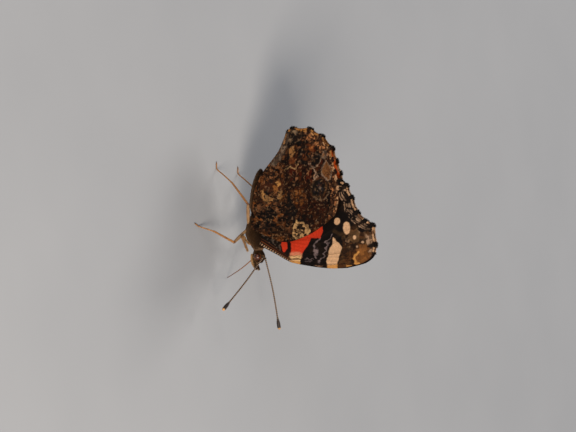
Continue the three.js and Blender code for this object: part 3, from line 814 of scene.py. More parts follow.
    # A tan lens with a red-brown foot, and pale lines between the spots.
    c.fill(BLACK, 0.75, [
        (-20.4, 18.0), (-18.4, 19.5), (-16.4, 19.2), (-14.6, 18.6), (-16.4, 17.4), (-18.6, 17.3)
    ], 0.2, 0.9)
    c.dot(mix(mix(TAN, GOLD, 0.35), RUST, 0.3), 0.95, (-18.3, 18.4), (1.35, 0.72), 0, 0.18, 0.9)
    c.dot(mix(RUST, BROWN, 0.35), 0.95, (-16.2, 18.7), (0.95, 0.72), 0, 0.25, 0.9)
    c.draw(mix(TAN, CREAM, 0.3), 0.9, [
        (-14.2, 16.9), (-14.7, 18.3), (-14.2, 19.4), (-15.2, 20.4)
    ], 0.36, 0.1, 0.9)
    c.draw(mix(PINK_GREY, GREY, 0.3), 0.85, [
        (-15.2, 23.4), (-14.4, 24.2), (-13.6, 25.0), (-12.4, 25.2), (-11.4, 24.8)
    ], 0.32, 0.1, 0.9)
    c.draw(PINK_GREY, 0.7, [(-13.6, 25.0), (-12.0, 25.8), (-10.8, 24.4)], 0.22, 0.1, 0.9)
    c.draw(PINK_GREY, 0.7, [(-14.2, 24.2), (-14.4, 25.6), (-15.4, 26.6)], 0.24, 0.1, 0.9)
    c.draw(mix(GREY, TAN, 0.4), 0.7, [
        (-7.0, 24.8), (-6.2, 26.6), (-6.7, 28.0), (-8.0, 28.8)
    ], 0.28, 0.1, 0.9)

    # A tan lozenge with a pale rim reaches into the margin.
    c.fill(mix(BLACK, BROWN, 0.4), 0.9, [
        (-16.0, 27.8), (-13.6, 30.2), (-10.2, 29.2), (-9.9, 28.4), (-12.4, 26.2), (-14.4, 26.6)
    ], 0.15, 0.9)
    c.fill(mix(PINK_GREY, GREY, 0.3), 0.75, [
        (-15.7, 27.9), (-13.5, 29.9), (-10.6, 29.0), (-10.4, 28.4), (-12.5, 26.6), (-14.2, 26.9)
    ], 0.1, 0.85)
    c.fill(mix(mix(OLIVE, RUST, 0.5), GOLD, 0.08), 0.97, [
        (-15.35, 28.0), (-13.5, 29.6), (-10.8, 28.8), (-12.6, 26.85), (-14.1, 27.1)
    ], 0.1, 0.8)
    c.islands(
        c.round((-13.1, 28.2), (1.6, 1.1), 0, 0.3), 0.6, (mix(RUST, BROWN, 0.5), WARM), 36, 0.54, None, 0.7)
    c.dot(mix(GREY, PINK_GREY, 0.4), 0.8, (-17.0, 27.4), (1.0, 0.7), 0, 0.2, 1.0)
    c.dot(mix(TAN, RUST, 0.5), 0.85, (-16.9, 27.3), (0.5, 0.35), 0, 0.3, 1.0)

    # The rim: specks of gold and cream between dark teeth.
    speckled = spread(c.noise(0.55, 2, 33), 0.4, 0.5)
    c.lay(outer * c.band(0.15, 0.75, 0.08, 0.2), mix(BLACK, RUST, 0.3), 0.8)
    rim_light = mix(mix(GOLD, RUST, 0.25), WHITE, smooth((c.z - 21) / 6)[:, None] * 0.6)
    c.lay(outer * c.band(0.2, 0.62, 0.08, 0.2) * speckled, rim_light, 0.9)
    c.lay(outer * c.band(-1, 0.18, 0.07, 0.1), mix(SOOT, RUST, 0.35), 0.85)
    c.lay(outer * c.teeth(0.75, 1.7), mix(BLACK, RUST, 0.1), 0.97)

    # The corner by the abdomen is dark with pale green-grey speckles and a grey streaked edge.
    anal = c.patch([(-26, 16.5), (-25.5, 20.6), (-21.6, 20.9), (-19.6, 18.4), (-19.0, 15.5)], 0.4, 0.7)
    c.lay(anal, BLACK, 0.9)
    c.islands(anal, 0.7, (mix(GREY, OLIVE, 0.6), mix(GREY, BLACK, 0.4)), 25, 0.56, None, 0.8)
    for centre in ((-23.0, 19.0), (-21.3, 17.9)):
        c.dot(mix(GREY, CREAM, 0.2), 0.7, centre, (0.5, 0.6), 0, 0.3, 0.9)
    edge = c.stroke([(-24.6, 17.2), (-21.5, 16.4), (-18.5, 15.6), (-16.0, 14.0)], 1.7, 0.3, 0.5)
    c.lay(edge, mix(BLACK, GREY, 0.3), 0.9)
    c.islands(edge, 0.7, (GREY, mix(GREY, PINK_GREY, 0.4)), 26, 0.53, BLACK, 0.8, np.array([0.45, 1.9]))

    # Thin black lines wander over it, and single scales of other colours fleck it.
    c.scribble(everywhere, 1.9, BLACK, 38, 0.8, 0.03)
    c.islands(everywhere, 0.34, (mix(TAN, PINK_GREY, 0.4), mix(TAN, OLIVE, 0.3)), 27, 0.7, None, 0.45)
    c.islands(everywhere, 0.42, (BLACK, mix(BLACK, RUST, 0.3)), 28, 0.66, None, 0.55)
    return c.rgb


def paint_fore_underside(grid):
    """Black-brown with a red band, a white bar, white spots, and a golden-brown tip."""
    c = Canvas(grid, 300)
    c.lay(np.ones(len(c.x)), BLACK)
    c.lay(spread(c.noise(1.4, 3, 1), 0.5, 0.7), SOOT, 0.6)

    # The brown tip of the wing.
    tip = c.patch([
        (-0.6, 35.4), (1.6, 33.6), (2.8, 31.6), (4.4, 32.2), (6.2, 32.0), (8.0, 31.1), (11, 30.6), (11, 42),
        (-1, 42)
    ], 0.35, 0.8)
    c.lay(tip, mix(BROWN, WARM, 0.35), 0.97)
    pale_side = tip * smooth((7.4 - c.x) / 3.5)
    c.islands(tip, 1.3, (mix(OLIVE, WARM, 0.4), WARM), 2, 0.5, mix(SOOT, BLACK, 0.5), 0.8)
    c.islands(pale_side, 0.9, (mix(TAN, PINK_GREY, 0.4), OLIVE), 3, 0.57, SOOT, 0.75)
    c.islands(tip, 0.9, (mix(SOOT, BROWN, 0.3), SOOT), 15, 0.54, None, 0.75, np.array([1.5, 0.7]))
    c.scribble(tip, 1.4, BLACK, 4, 0.75, 0.035, np.array([1.6, 0.7]))
    c.fill(mix(mix(RUST, OLIVE, 0.45), GOLD, 0.12), 0.9, [
        (4.6, 36.0), (4.8, 38.4), (6.6, 39.8), (8.4, 39.0), (9.4, 37.0), (8.8, 35.4), (6.6, 35.6)
    ], 0.35, 0.7)
    c.fill(mix(RUST, GOLD, 0.35), 0.6, [
        (5.6, 36.4), (6.2, 38.2), (7.8, 38.4), (8.4, 36.8), (7.2, 36.2)
    ], 0.4, 0.9)
    c.islands(c.round((7.0, 37.5), (2.2, 2.0)), 0.7, (mix(WARM, SOOT, 0.3), WARM), 9, 0.56, None, 0.6)
    c.draw(GOLD, 0.95, [(6.5, 36.2), (7.0, 35.4), (7.9, 35.0), (8.8, 35.4), (9.3, 36.4)], 0.55, 0.14, 0.6)
    c.draw(GOLD, 0.8, [(9.5, 33.2), (9.55, 34.2)], 0.4, 0.14, 0.4)
    c.fill(mix(PINK_GREY, BROWN, 0.7), 0.8, [
        (2.2, 37.8), (2.8, 40.2), (6.0, 40.9), (7.8, 39.9), (5.6, 39.2), (4.4, 38.4)
    ], 0.25, 0.8)
    c.islands(
        c.round((4.4, 39.2), (3.0, 1.3)), 0.7, (mix(PINK_GREY, WHITE, 0.2), mix(PINK_GREY, TAN, 0.5)), 14,
        0.53, mix(BROWN, BLACK, 0.4), 0.8)

    # The dark corner of the margin, and the pale pink lines that run from it along the margin.
    c.fill(BLACK, 1, [
        (-1.6, 36.4), (-1.2, 37.8), (-0.4, 40.6), (1.2, 40.6), (1.9, 38.6), (2.1, 37.2), (1.2, 36.0),
        (0.2, 36.2)
    ], 0.2, 0.8)
    reach = smooth((1.6 - c.x) / 1.2) * smooth((c.x + 10.8) / 1.0)
    strip = reach * c.band(0.5, 2.4, 0.15, 0.3)
    c.islands(strip, 0.8, (mix(PINK_GREY, BROWN, 0.5), mix(PINK_GREY, TAN, 0.5)), 6, 0.52, None, 0.7)
    broken = spread(c.noise(0.9, 2, 13), 0.38, 0.56)
    for middle in (0.85, 1.5, 2.15):
        c.lay(
            reach * broken * c.band(middle - 0.13, middle + 0.13, 0.08, 0.4, 0.25, 5),
            mix(PINK_GREY, WHITE, 0.15), 0.8)
    for middle in (1.18, 1.83):
        c.lay(reach * c.band(middle - 0.12, middle + 0.12, 0.08, 0.3, 0.25, 5), BLACK, 0.9)
    c.fill(mix(WHITE, PINK_GREY, 0.4), 0.9, [
        (-9.4, 31.8), (-9.2, 33.0), (-8.0, 33.6), (-8.2, 32.4)
    ], 0.15, 0.6)
    c.lay(c.band(-1, 0.3, 0.07, 0.1) * smooth((c.z - 31) / 1.5), mix(BLACK, RUST, 0.1), 0.9)
    c.lay(c.teeth(0.85, 2.2, 0.15) * smooth((c.z - 31) / 1.0) * smooth((6.5 - c.x) / 1.0), BLACK, 0.97)
    c.fill(BLACK, 0.95, [(-8.2, 32.2), (-8.0, 34.6), (-6.0, 34.9), (-5.6, 33.6), (-6.6, 32.4)], 0.25, 0.8)

    # The red band, in three pieces, with a pale pink and golden end on the front edge.
    c.fill(RED, 1, [
        (2.7, 17.9), (2.2, 20.0), (1.2, 21.8), (1.0, 23.6), (2.3, 23.5), (3.6, 22.9), (4.6, 22.1),
        (5.9, 21.0), (6.4, 20.3), (6.3, 17.9), (4.5, 18.1)
    ], 0.1, 0.35)
    c.fill(RED, 1, [
        (2.1, 22.8), (0.2, 23.2), (-1.4, 24.8), (-1.2, 26.3), (0.9, 26.6), (1.8, 26.3), (2.6, 26.0),
        (2.5, 24.3)
    ], 0.1, 0.35)
    c.draw(mix(BLACK, RED, 0.3), 0.8, [(2.3, 22.4), (2.4, 24.4)], 0.14, 0.07, 0.3)
    c.fill(RED, 1, [
        (2.4, 15.6), (3.0, 16.9), (4.4, 17.1), (5.2, 16.4), (5.3, 15.9), (3.8, 15.4)
    ], 0.12, 0.35)
    c.fill(mix(RED, WHITE, 0.55), 0.8, [
        (5.6, 17.8), (5.4, 19.4), (5.9, 21.0), (6.8, 20.9), (6.8, 17.6)
    ], 0.3, 0.5)
    c.fill(mix(CREAM, WHITE, 0.3), 1, [
        (6.3, 17.5), (6.3, 20.9), (7.4, 20.7), (8.6, 20.3), (8.2, 18.0), (7.2, 17.0)
    ], 0.1, 0.3)
    c.draw(RUST, 0.7, [(6.35, 17.4), (6.5, 20.9)], 0.16, 0.06, 0.3)
    c.draw(mix(BLACK, RUST, 0.2), 0.9, [(7.0, 17.4), (7.3, 20.8)], 0.3, 0.08, 0.3)
    c.draw(GOLD, 0.9, [(7.7, 18.0), (8.1, 20.4)], 0.5, 0.1, 0.3)

    # The grey zigzag lines across the black.
    zigzag = srgb(124, 106, 106)
    c.draw(zigzag, 0.85, [
        (2.6, 25.8), (3.5, 24.9), (4.3, 24.2), (5.0, 24.7), (5.7, 25.0), (6.3, 24.3), (7.1, 25.0)
    ], 0.26, 0.12, 1.0)
    c.dot(zigzag, 0.85, (5.7, 24.9), (0.85, 0.55), 0, 0.3, 1.0)
    c.islands(c.round((5.7, 24.9), (0.9, 0.6)), 0.35, (SLATE, SOOT), 10, 0.52, None, 0.7)
    c.draw(zigzag, 0.85, [
        (1.9, 29.2), (2.6, 28.7), (3.3, 28.1), (3.7, 27.2), (4.0, 28.3), (4.9, 27.4), (5.6, 27.6),
        (6.2, 26.9), (6.9, 27.2), (7.3, 26.3), (8.0, 26.0)
    ], 0.22, 0.09, 1.0)
    c.draw(zigzag, 0.6, [(7.3, 21.9), (7.35, 24.2)], 0.2, 0.09, 1.0)
    c.draw(zigzag, 0.5, [(7.9, 22.0), (7.8, 23.6)], 0.2, 0.09, 1.0)
    c.dot(zigzag, 0.7, (8.2, 25.8), (0.45, 0.4), 0, 0.3, 1.0)
    c.draw(mix(zigzag, GOLD, 0.4), 0.6, [(9.1, 24.6), (9.3, 26.4)], 0.2, 0.1, 0.8)
    c.draw(mix(SOOT, OLIVE, 0.4), 0.6, [(1.2, 29.8), (2.0, 31.2), (1.8, 32.6)], 0.8, 0.3, 0.6)

    # The white bar, the white spots, and the small ones that lead to the tip.
    c.fill(WHITE, 1, [
        (2.6, 29.5), (2.9, 29.9), (3.3, 30.0), (4.2, 31.2), (5.2, 31.8), (6.2, 31.4), (7.0, 31.0),
        (7.9, 30.8), (8.8, 30.5), (10.2, 30.2), (10.2, 28.0), (9.0, 27.9), (8.3, 27.6), (7.6, 27.7),
        (7.0, 28.1), (6.5, 28.3), (5.8, 28.2), (5.0, 28.6), (4.3, 29.2), (3.4, 29.2)
    ], 0.1, 0.3)
    c.fill(GOLD, 0.9, [(9.1, 27.8), (9.0, 30.6), (10.6, 30.6), (10.6, 27.8)], 0.15, 0.2)
    c.draw(mix(OLIVE, TAN, 0.3), 0.7, [(8.9, 27.7), (8.85, 30.6)], 0.14, 0.07, 0.3)
    c.draw(mix(OLIVE, TAN, 0.3), 0.7, [(6.6, 28.0), (6.4, 31.6)], 0.14, 0.07, 0.2)
    c.dot(WHITE, 1, (-1.15, 30.5), (0.86, 0.8), 0, 0.12, 0.3)
    c.dot(WHITE, 1, (0.62, 33.05), (1.5, 0.95), 8, 0.1, 0.3)
    rings = ((1.5, mix(TAN, BROWN, 0.4)), (1.25, SOOT), (0.95, mix(OLIVE, TAN, 0.4)), (0.75, SOOT))
    for radius, tint in rings:
        c.dot(tint, 0.6, (2.7, 35.1), (radius, radius * 0.9), 0, 0.2, 1.0)
    c.dot(WHITE, 1, (2.9, 35.15), (0.5, 0.45), 0, 0.2, 0.3)
    for centre in ((5.1, 35.9), (4.2, 37.3)):
        c.dot(SOOT, 0.75, centre, (0.6, 0.55), 0, 0.25, 0.8)
        c.dot(mix(PINK_GREY, WHITE, 0.5), 0.9, centre, (0.3, 0.28), 0, 0.3, 0.4)

    def beside_front(near, far, fade):
        """A strip from near to far millimetres behind the front edge."""
        return smooth((c.from_front - near) / 0.08) * smooth((far - c.from_front) / fade)

    # The front edge near the root: fine white and black bars beside two rust-coloured veins.
    run = c.x * 0.60 + c.z * 0.80 + 0.25 * c.noise(0.8, 2, 12)
    near_root = smooth((18.2 - c.z) / 0.6)
    c.lay(near_root * smooth((1.9 - c.from_front) / 0.3), BLACK, 0.9)
    bars = spread(np.sin(run * 2 * math.pi / 0.62), 0.2, 0.6)
    c.lay(near_root * bars * beside_front(0.1, 0.72, 0.12), mix(WHITE, PINK_GREY, 0.3), 0.92)
    c.lay(beside_front(0.85, 1.2, 0.1) * smooth(19.5 - c.z), mix(RUST, BROWN, 0.35), 0.9)
    c.lay(beside_front(1.5, 1.72, 0.1) * smooth(17.5 - c.z), mix(RUST, BROWN, 0.3), 0.6)
    c.lay(
        (c.z < 15.2) * (c.from_front > 1.7) * (c.from_front < 4.0) * spread(c.noise(0.5, 2, 8), 0.64, 0.68),
        mix(GREY, SLATE, 0.3), 0.7)
    c.lay(smooth((0.2 - c.from_front) / 0.1) * smooth((c.z - 20.5) / 0.5), mix(RUST, GOLD, 0.2), 0.7)
    return c.rgb


def paint_hind_upperside(grid):
    """Dark brown with a broad orange-red margin that holds a row of black dots."""
    c = Canvas(grid, 500)
    c.lay(np.ones(len(c.x)), mix(SOOT, BROWN, 0.3))
    c.lay(spread(c.noise(1.5, 3, 1), 0.5, 0.7), BROWN, 0.5)
    outer = smooth((-c.x - 4.5) / 2.5) * smooth((c.z - 17.5) / 1.5)
    c.lay(outer * c.band(0.5, 3.6, 0.25, 0.3), ORANGE)
    c.lay(outer * c.band(1.5, 2.6, 0.2, 0.1) * smooth((c.to_vein - 1.0) / 0.25), BLACK, 0.98)
    c.lay(outer * c.band(0.2, 0.5, 0.08, 0.15), mix(ORANGE, WHITE, 0.55), 0.85)
    c.lay(outer * c.band(-1, 0.2, 0.08, 0.1), mix(ORANGE, BLACK, 0.75), 0.9)
    c.lay(outer * c.teeth(0.7, 1.3), mix(BLACK, RUST, 0.25), 0.95)
    c.dot(SLATE, 0.9, (-23.2, 18.6), (0.8, 0.7), 0, 0.3, 0.4)
    return c.rgb


def paint_fore_upperside(grid):
    """Black with a slanting red band, a white bar and white spots towards the tip."""
    c = Canvas(grid, 700)
    c.lay(np.ones(len(c.x)), BLACK)
    base = c.patch([(5, 8), (5, 18), (-2, 22), (-8, 28), (-14, 26), (-4, 8)], 1.5, 0.5)
    c.lay(base, mix(BROWN, SOOT, 0.4), 0.9)
    c.fill(RED, 1, [
        (5.6, 18), (5.2, 21.2), (1.0, 25.0), (-4.4, 28.4), (-8.4, 31.4), (-9.0, 29.6), (-4.5, 24.8),
        (1.0, 20.2)
    ], 0.25, 0.5)
    c.fill(WHITE, 1, [
        (3.0, 29.3), (4.1, 31.0), (7.2, 31.1), (9.9, 30.0), (9.9, 28.0), (7.2, 28.2)
    ], 0.12, 0.3)
    spots = (
        ((-1.15, 30.5), (0.8, 0.7)), ((0.62, 33.05), (1.2, 0.8)),
        ((2.9, 35.2), (0.5, 0.5)), ((5.0, 36.2), (0.7, 0.5)),
    )
    for centre, radii in spots:
        c.dot(WHITE, 1, centre, radii, 0, 0.15, 0.3)
    return c.rgb


WINGS = (
    (FOREWING, paint_fore_underside, paint_fore_upperside),
    (HINDWING, paint_hind_underside, paint_hind_upperside),
)


def vein_tint(colours, height):
    """Veins are a little browner than the scales beside them."""
    return mix(colours, mix(colours, BROWN, 0.75), (height.ravel() * VEIN_BROWNING)[:, None])


def quads_of(index):
    """Quads between neighbours in a grid of point numbers."""
    corners = (index[:-1, :-1], index[1:, :-1], index[1:, 1:], index[:-1, 1:])
    return np.stack(corners, -1).reshape(-1, 4)


def rim_of(index):
    """The point numbers round a grid's edge, in order."""
    return np.concatenate([index[:, 0], index[-1, 1:], index[::-1, -1][1:], index[0, ::-1][1:-1]])


def wing(plan, side, side_name, paint_outside, paint_inside):
    """A wing: a fine outer face, a coarser inner face, and the rim that joins them."""
    grid = wing_grid(plan)
    few = {key: value[::2, ::2] for key, value in grid.items()}
    height = vein_height(plan, grid)
    middle = wing_plane(plan, grid["x"], grid["z"])
    pleat = PLEAT_DEPTH * (np.cos(2 * math.pi * grid["share"]) - 0.4) * smooth((grid["t"] - 0.1) / 0.4)
    half = (WING_HALF_THICKNESS + VEIN_RELIEF * height) * (1 - 0.5 * smooth((grid["t"] - 0.9) / 0.1))
    outside = np.stack([grid["x"], side * (middle + half + pleat), grid["z"]], -1)
    inside = np.stack([few["x"], side * (middle - half + pleat)[::2, ::2], few["z"]], -1)
    points = np.concatenate([outside.reshape(-1, 3), inside.reshape(-1, 3)])

    outer = np.arange(height.size).reshape(height.shape)
    inner = height.size + np.arange(few["x"].size).reshape(few["x"].shape)
    outer_rim, inner_rim = rim_of(outer), rim_of(inner)
    o0, o1, o2 = outer_rim[0::2], outer_rim[1::2], np.roll(outer_rim[0::2], -1)
    i0, i1 = inner_rim, np.roll(inner_rim, -1)
    joins = np.concatenate([np.stack(corners, -1) for corners in ((o0, o1, i0), (o1, i1, i0), (o1, o2, i1))])
    groups = [quads_of(outer), quads_of(inner)[:, ::-1], joins]
    node = f"{plan['name']}_{side_name}"
    piece = mesh_object(f"{node}_skin", points, [faces[:, ::side] for faces in groups])
    set_paint(piece, np.concatenate([
        vein_tint(paint_outside(grid), height),
        vein_tint(paint_inside(few), height[::2, ::2]),
    ]))
    dress(piece, WING_MATERIAL, plan["name"], node)
    return grid, middle


def fringe(plan, side, side_name, grid, middle):
    """The fringe of long scales on the margin, pale between the veins and black at their tips."""
    names = [vein[0] for vein in plan["veins"]]
    cells = grid["cell"][:, -1]
    rim = (cells >= names.index(plan["fringe_from"])) & (cells < names.index("inner"))
    x, z = grid["x"][rim, -1], grid["z"][rim, -1]
    along = distance_along(np.stack([x, z], -1))
    wanted = np.tile(np.arange(0, along[-1], FRINGE_SPACING), FRINGE_ROWS)
    count = len(wanted)
    wanted = wanted + random.uniform(-0.03, 0.03, count)

    def at(values):
        return np.interp(wanted, along, values)

    x0, z0 = at(x), at(z)
    share = at(cells[rim] + grid["share"][rim, -1]) % 1
    outward = unit(np.stack([at(np.gradient(z)), np.zeros(count), -at(np.gradient(x))], -1))
    from_origin = np.stack([x0 - plan["origin"][0], np.zeros(count), z0 - plan["origin"][1]], -1)
    outward *= np.sign((outward * from_origin).sum(1))[:, None]
    outward += 0.35 * unit(from_origin)
    outward += random.normal(0, 0.1, outward.shape) * [1, 0.6, 1]
    to_vein = np.minimum(share, 1 - share) * at(grid["width"][rim, -1])
    near_tip = to_vein < random.uniform(0.5, 0.68, count)
    lengths = FRINGE_LENGTH * random.uniform(0.8, 1.1, count) * np.where(near_tip, 1.25, 0.85)
    widths = random.uniform(0.09, 0.15, count)
    y0 = at(middle[rim, -1]) + random.uniform(-0.05, 0.05, count)
    roots = np.stack([x0, side * y0, z0], -1) - outward * 0.22
    pale = mix(WHITE, plan["fringe_rear"], smooth((REAR_START_X - x0) / 5)[:, None])
    pale = mix(pale, mix(BROWN, RUST, 0.4), 0.8 * spread(fractal(roots, 0.5, 2, 60), 0.45, 0.6)[:, None])
    colours = shaded(np.where(near_tip[:, None], BLACK, pale), 0.8, 1.15)
    root_uv = np.stack([inset(wanted / along[-1], 0.05), random.uniform(0.1, 0.9, count)], -1)
    normals = np.tile([0.0, float(side), 0.0], (count, 1))
    name = f"{plan['name']}_{side_name}_fringe"
    piece = tufts(name, roots, outward, normals, lengths + 0.2, widths, colours, root_uv, 0.0, 1.05)
    dress(piece, FRINGE_MATERIAL, plan["name"])


# Body

BODY_FRONT = HEAD["start"] + HEAD["length"] - 0.05
BODY_REAR = ABDOMEN["start"] - ABDOMEN["length"] + 0.1
BODY_STATIONS = 240
BODY_SIDES = 72
BODY_DARKENING = 0.72
ABDOMEN_RINGS = 7
COAT_DEPTH = dict(thorax=0.22, abdomen=0.14, head=0.08)
EYE_CENTRE = np.array([6.1, 0.72, 9.1])
EYE_RADII = np.array([0.88, 1.12, 0.98])
EYE_RINGS = 48
EYE_SIDES = 72
EYE_HAIRS = 260


def abdomen_share(x):
    """How far back x lies on the abdomen, from 0 to 1."""
    return np.clip((ABDOMEN["start"] - x) / ABDOMEN["length"], 0, 1)


def body_profile(x):
    """The skin's middle height, half width, half height and squareness at each x."""
    z, half_width, half_height = thorax_at(np.clip(x, THORAX["rear"], THORAX["front"]))

    t = abdomen_share(x)
    behind = x < (THORAX["rear"] + ABDOMEN["start"]) / 2
    waist = 0.62 + 0.38 * smooth(t / 0.25)
    taper = np.sqrt(np.maximum(0, 1 - (0.985 * np.maximum(0, t - 0.3) / 0.7) ** 2.2))
    in_ring = t * ABDOMEN_RINGS % 1
    ring = 1 - 0.035 * np.exp(-((in_ring - 0.02) / 0.09) ** 2) + 0.02 * in_ring
    z = np.where(behind, THORAX["z"] + 0.1 + ABDOMEN["rise"] * t ** 1.3, z)
    half_width = np.where(behind, ABDOMEN["half_width"] * waist * taper * ring, half_width)
    half_height = np.where(behind, ABDOMEN["half_height"] * waist * taper * ring, half_height)

    t = np.clip((x - HEAD["start"]) / HEAD["length"], 0, 1)
    ahead = x > (THORAX["front"] + HEAD["start"]) / 2
    swell = np.sin(math.pi * mix(0.22, 0.93, t)) ** 0.6
    z = np.where(ahead, mix(THORAX["z"] + THORAX["rise"], HEAD["z"], smooth(t * 2)), z)
    half_width = np.where(ahead, HEAD["half_width"] * np.minimum(1, swell * 1.15), half_width)
    half_height = np.where(ahead, HEAD["half_height"] * swell, half_height)
    power = np.where(ahead, 3.4 - 1.4 * np.abs(2 * t - 1), 2.0)
    coat_depth = np.select([behind, ahead], [COAT_DEPTH["abdomen"], COAT_DEPTH["head"]], COAT_DEPTH["thorax"])
    return z, half_width - coat_depth, half_height - coat_depth, power


def body_surface(x, angle):
    """Points and outward directions on the body's skin. angle runs from +Y up over the back."""
    z, half_width, half_height, power = body_profile(x)
    c, s = np.cos(angle), np.sin(angle)
    y = half_width * np.sign(c) * np.abs(c) ** (2 / power)
    up = half_height * np.sign(s) * np.abs(s) ** (2 / power)
    sideways, upward = c / np.maximum(half_width, 0.05), s / np.maximum(half_height, 0.05)
    return np.stack([x, y, z + up], -1), unit(np.stack([np.zeros_like(x), sideways, upward], -1))


def body_colour(points, angle):
    """Black-brown above, warm brown on the sides, grey-tan below, pale rings on the abdomen."""
    x = points[:, 0]
    above, below = smooth(np.sin(angle) * 1.4), smooth(-np.sin(angle) * 1.4)
    grain = fractal(points, 0.5, 3, 41)[:, None]
    colour = mix(mix(BROWN, WARM, 0.5), OLIVE, grain)
    colour = mix(colour, mix(SOOT, BROWN, 0.5), 0.7 * above[:, None])
    colour = mix(colour, mix(TAN, PINK_GREY, 0.5), 0.55 * below[:, None])
    in_ring = abdomen_share(x) * ABDOMEN_RINGS % 1
    pale = (x < ABDOMEN["start"]) * np.exp(-((in_ring - 0.95) / 0.12) ** 2)
    return BODY_DARKENING * mix(colour, TAN, (0.5 * pale)[:, None])


def body():
    """One skin from the brow to the tip of the abdomen."""
    stations = np.linspace(BODY_FRONT, BODY_REAR, BODY_STATIONS)
    window = np.ones(5) / 5
    x, angle = (grid.ravel() for grid in np.meshgrid(stations, full_turn(BODY_SIDES), indexing="ij"))
    points, normals = body_surface(x, angle)
    shaped = points.reshape(BODY_STATIONS, BODY_SIDES, 3)
    for axis in (1, 2):
        for line in shaped[:, :, axis].T:
            line[2:-2] = np.convolve(line, window, "valid")
    points = shaped.reshape(-1, 3) + normals * (0.05 * (fractal(points, 0.6, 3, 40) - 0.5))[:, None]
    points = np.vstack([points, points[:BODY_SIDES].mean(0), points[-BODY_SIDES:].mean(0)])
    piece = mesh_object("body_skin", points, tube_faces(BODY_STATIONS, BODY_SIDES))
    set_paint(piece, body_colour(points, np.append(angle, [0, 0])))
    dress(piece, SKIN_MATERIAL, "thorax_fur", "head", "thorax", "abdomen")


def coat(name, slot, colour_of, count, x_range, lengths, widths, lift, sideways=0.25, skip=None):
    """Hair on a stretch of the body, lying back along it. skip(x, angle) says where it stays bare."""
    x = random.uniform(*x_range, count)
    angle = random.uniform(0, 2 * math.pi, count)
    if skip is not None:
        keep = ~skip(x, angle)
        x, angle = x[keep], angle[keep]
    points, normals = body_surface(x, angle)
    back = unit(body_surface(x - 0.05, angle)[0] - body_surface(x + 0.05, angle)[0])
    normals = unit(normals - back * (normals * back).sum(1)[:, None])
    leans = back + sideways * random.normal(0, 1, back.shape)
    leans -= normals * (leans * normals).sum(1)[:, None]
    size = random.uniform(*lengths, len(x))
    colours = shaded(colour_of(points, angle), 0.65, 1.3)
    back_share = (BODY_FRONT - x) / (BODY_FRONT - BODY_REAR)
    root_uv = np.stack([inset(back_share, 0.02), inset(angle / (2 * math.pi), 0.02)], -1)
    piece = tufts(name, points, leans, normals, size, random.uniform(*widths, len(x)), colours, root_uv, lift)
    dress(piece, HAIR_MATERIAL, slot)


def on_eye(x, angle):
    """Where the eyes sit on the head, which stays bare."""
    points = body_surface(x, angle)[0]
    from_eye = ((x - EYE_CENTRE[0]) / 0.9) ** 2 + ((points[:, 2] - EYE_CENTRE[2]) / 1.0) ** 2
    return (np.abs(points[:, 1]) > 0.45) & (from_eye < 1)


def head_colour(points, angle):
    """The body's colour, with pale tufts."""
    pale = spread(fractal(points, 0.8, 2, 60), 0.45, 0.6)[:, None]
    return mix(body_colour(points, angle), mix(TAN, CREAM, 0.4), 0.6 * pale)


def collar_colour(points, _):
    """Pale brown all round."""
    return np.tile(mix(mix(TAN, PINK_GREY, 0.4), BROWN, 0.35), (len(points), 1))


def hair():
    """The coat of the thorax, the abdomen and the head, and the collar of longer hair."""
    coat("thorax_hair", "thorax_fur", body_colour, count=14000, x_range=(-3.9, 4.7),
         lengths=(0.55, 1.15), widths=(0.05, 0.1), lift=0.16)
    coat("abdomen_hair", "abdomen_fur", body_colour, count=12000, x_range=(BODY_REAR + 0.06, -3.3),
         lengths=(0.3, 0.62), widths=(0.045, 0.085), lift=0.1)
    coat("head_hair", "head_fur", head_colour, count=6500, x_range=(4.5, BODY_FRONT - 0.1),
         lengths=(0.22, 0.45), widths=(0.04, 0.07), lift=0.28, sideways=0.6, skip=on_eye)
    coat("collar_hair", "head_fur", collar_colour, count=1300, x_range=(4.2, 4.75),
         lengths=(0.45, 0.75), widths=(0.05, 0.09), lift=0.3, sideways=0.3)


def eye(side_name, side):
    """A domed eye of many facets, sunk a little into the head, with a rim of short hair."""
    lift = np.linspace(0.0, 0.995, EYE_RINGS)[:, None]
    angle = full_turn(EYE_SIDES)
    across = np.sqrt(1 - lift ** 2)
    dome = np.stack(np.broadcast_arrays(across * np.cos(angle), lift, across * np.sin(angle)), -1)
    points = EYE_CENTRE + EYE_RADII * np.vstack([dome.reshape(-1, 3), [[0, 0, 0], [0, 1, 0]]])
    groups = [faces[:, ::-side] for faces in tube_faces(EYE_RINGS, EYE_SIDES)]
    piece = mesh_object(f"eye_{side_name}_dome", points * [1, side, 1], groups)
    dress(piece, EYE_MATERIAL, "eye", f"eye_{side_name}")

    count = EYE_HAIRS
    turn = random.uniform(0, 2 * math.pi, count)
    c, s = np.cos(turn), np.sin(turn)
    out = np.full(count, float(side))
    roots = np.array([1, side, 1]) * (EYE_CENTRE + [0, 0.12, 0])
    roots = roots + np.stack([(EYE_RADII[0] + 0.02) * c, 0 * out, (EYE_RADII[2] + 0.02) * s], -1)
    leans, normals = np.stack([-s, 0.5 * out, c], -1), np.stack([c, 0.3 * out, s], -1)
    colours = shaded(np.tile(mix(TAN, BROWN, 0.3), (count, 1)), 0.7, 1.2)
    root_uv = np.stack([inset(turn / (2 * math.pi), 0.05), random.uniform(0.2, 0.8, count)], -1)
    lengths, widths = random.uniform(0.2, 0.34, count), random.uniform(0.04, 0.07, count)
    rim = tufts(f"eye_{side_name}_rim", roots, leans, normals, lengths, widths, colours, root_uv, 0.1)
    dress(rim, HAIR_MATERIAL, "head_fur")


# Limbs, antennae and mouth parts

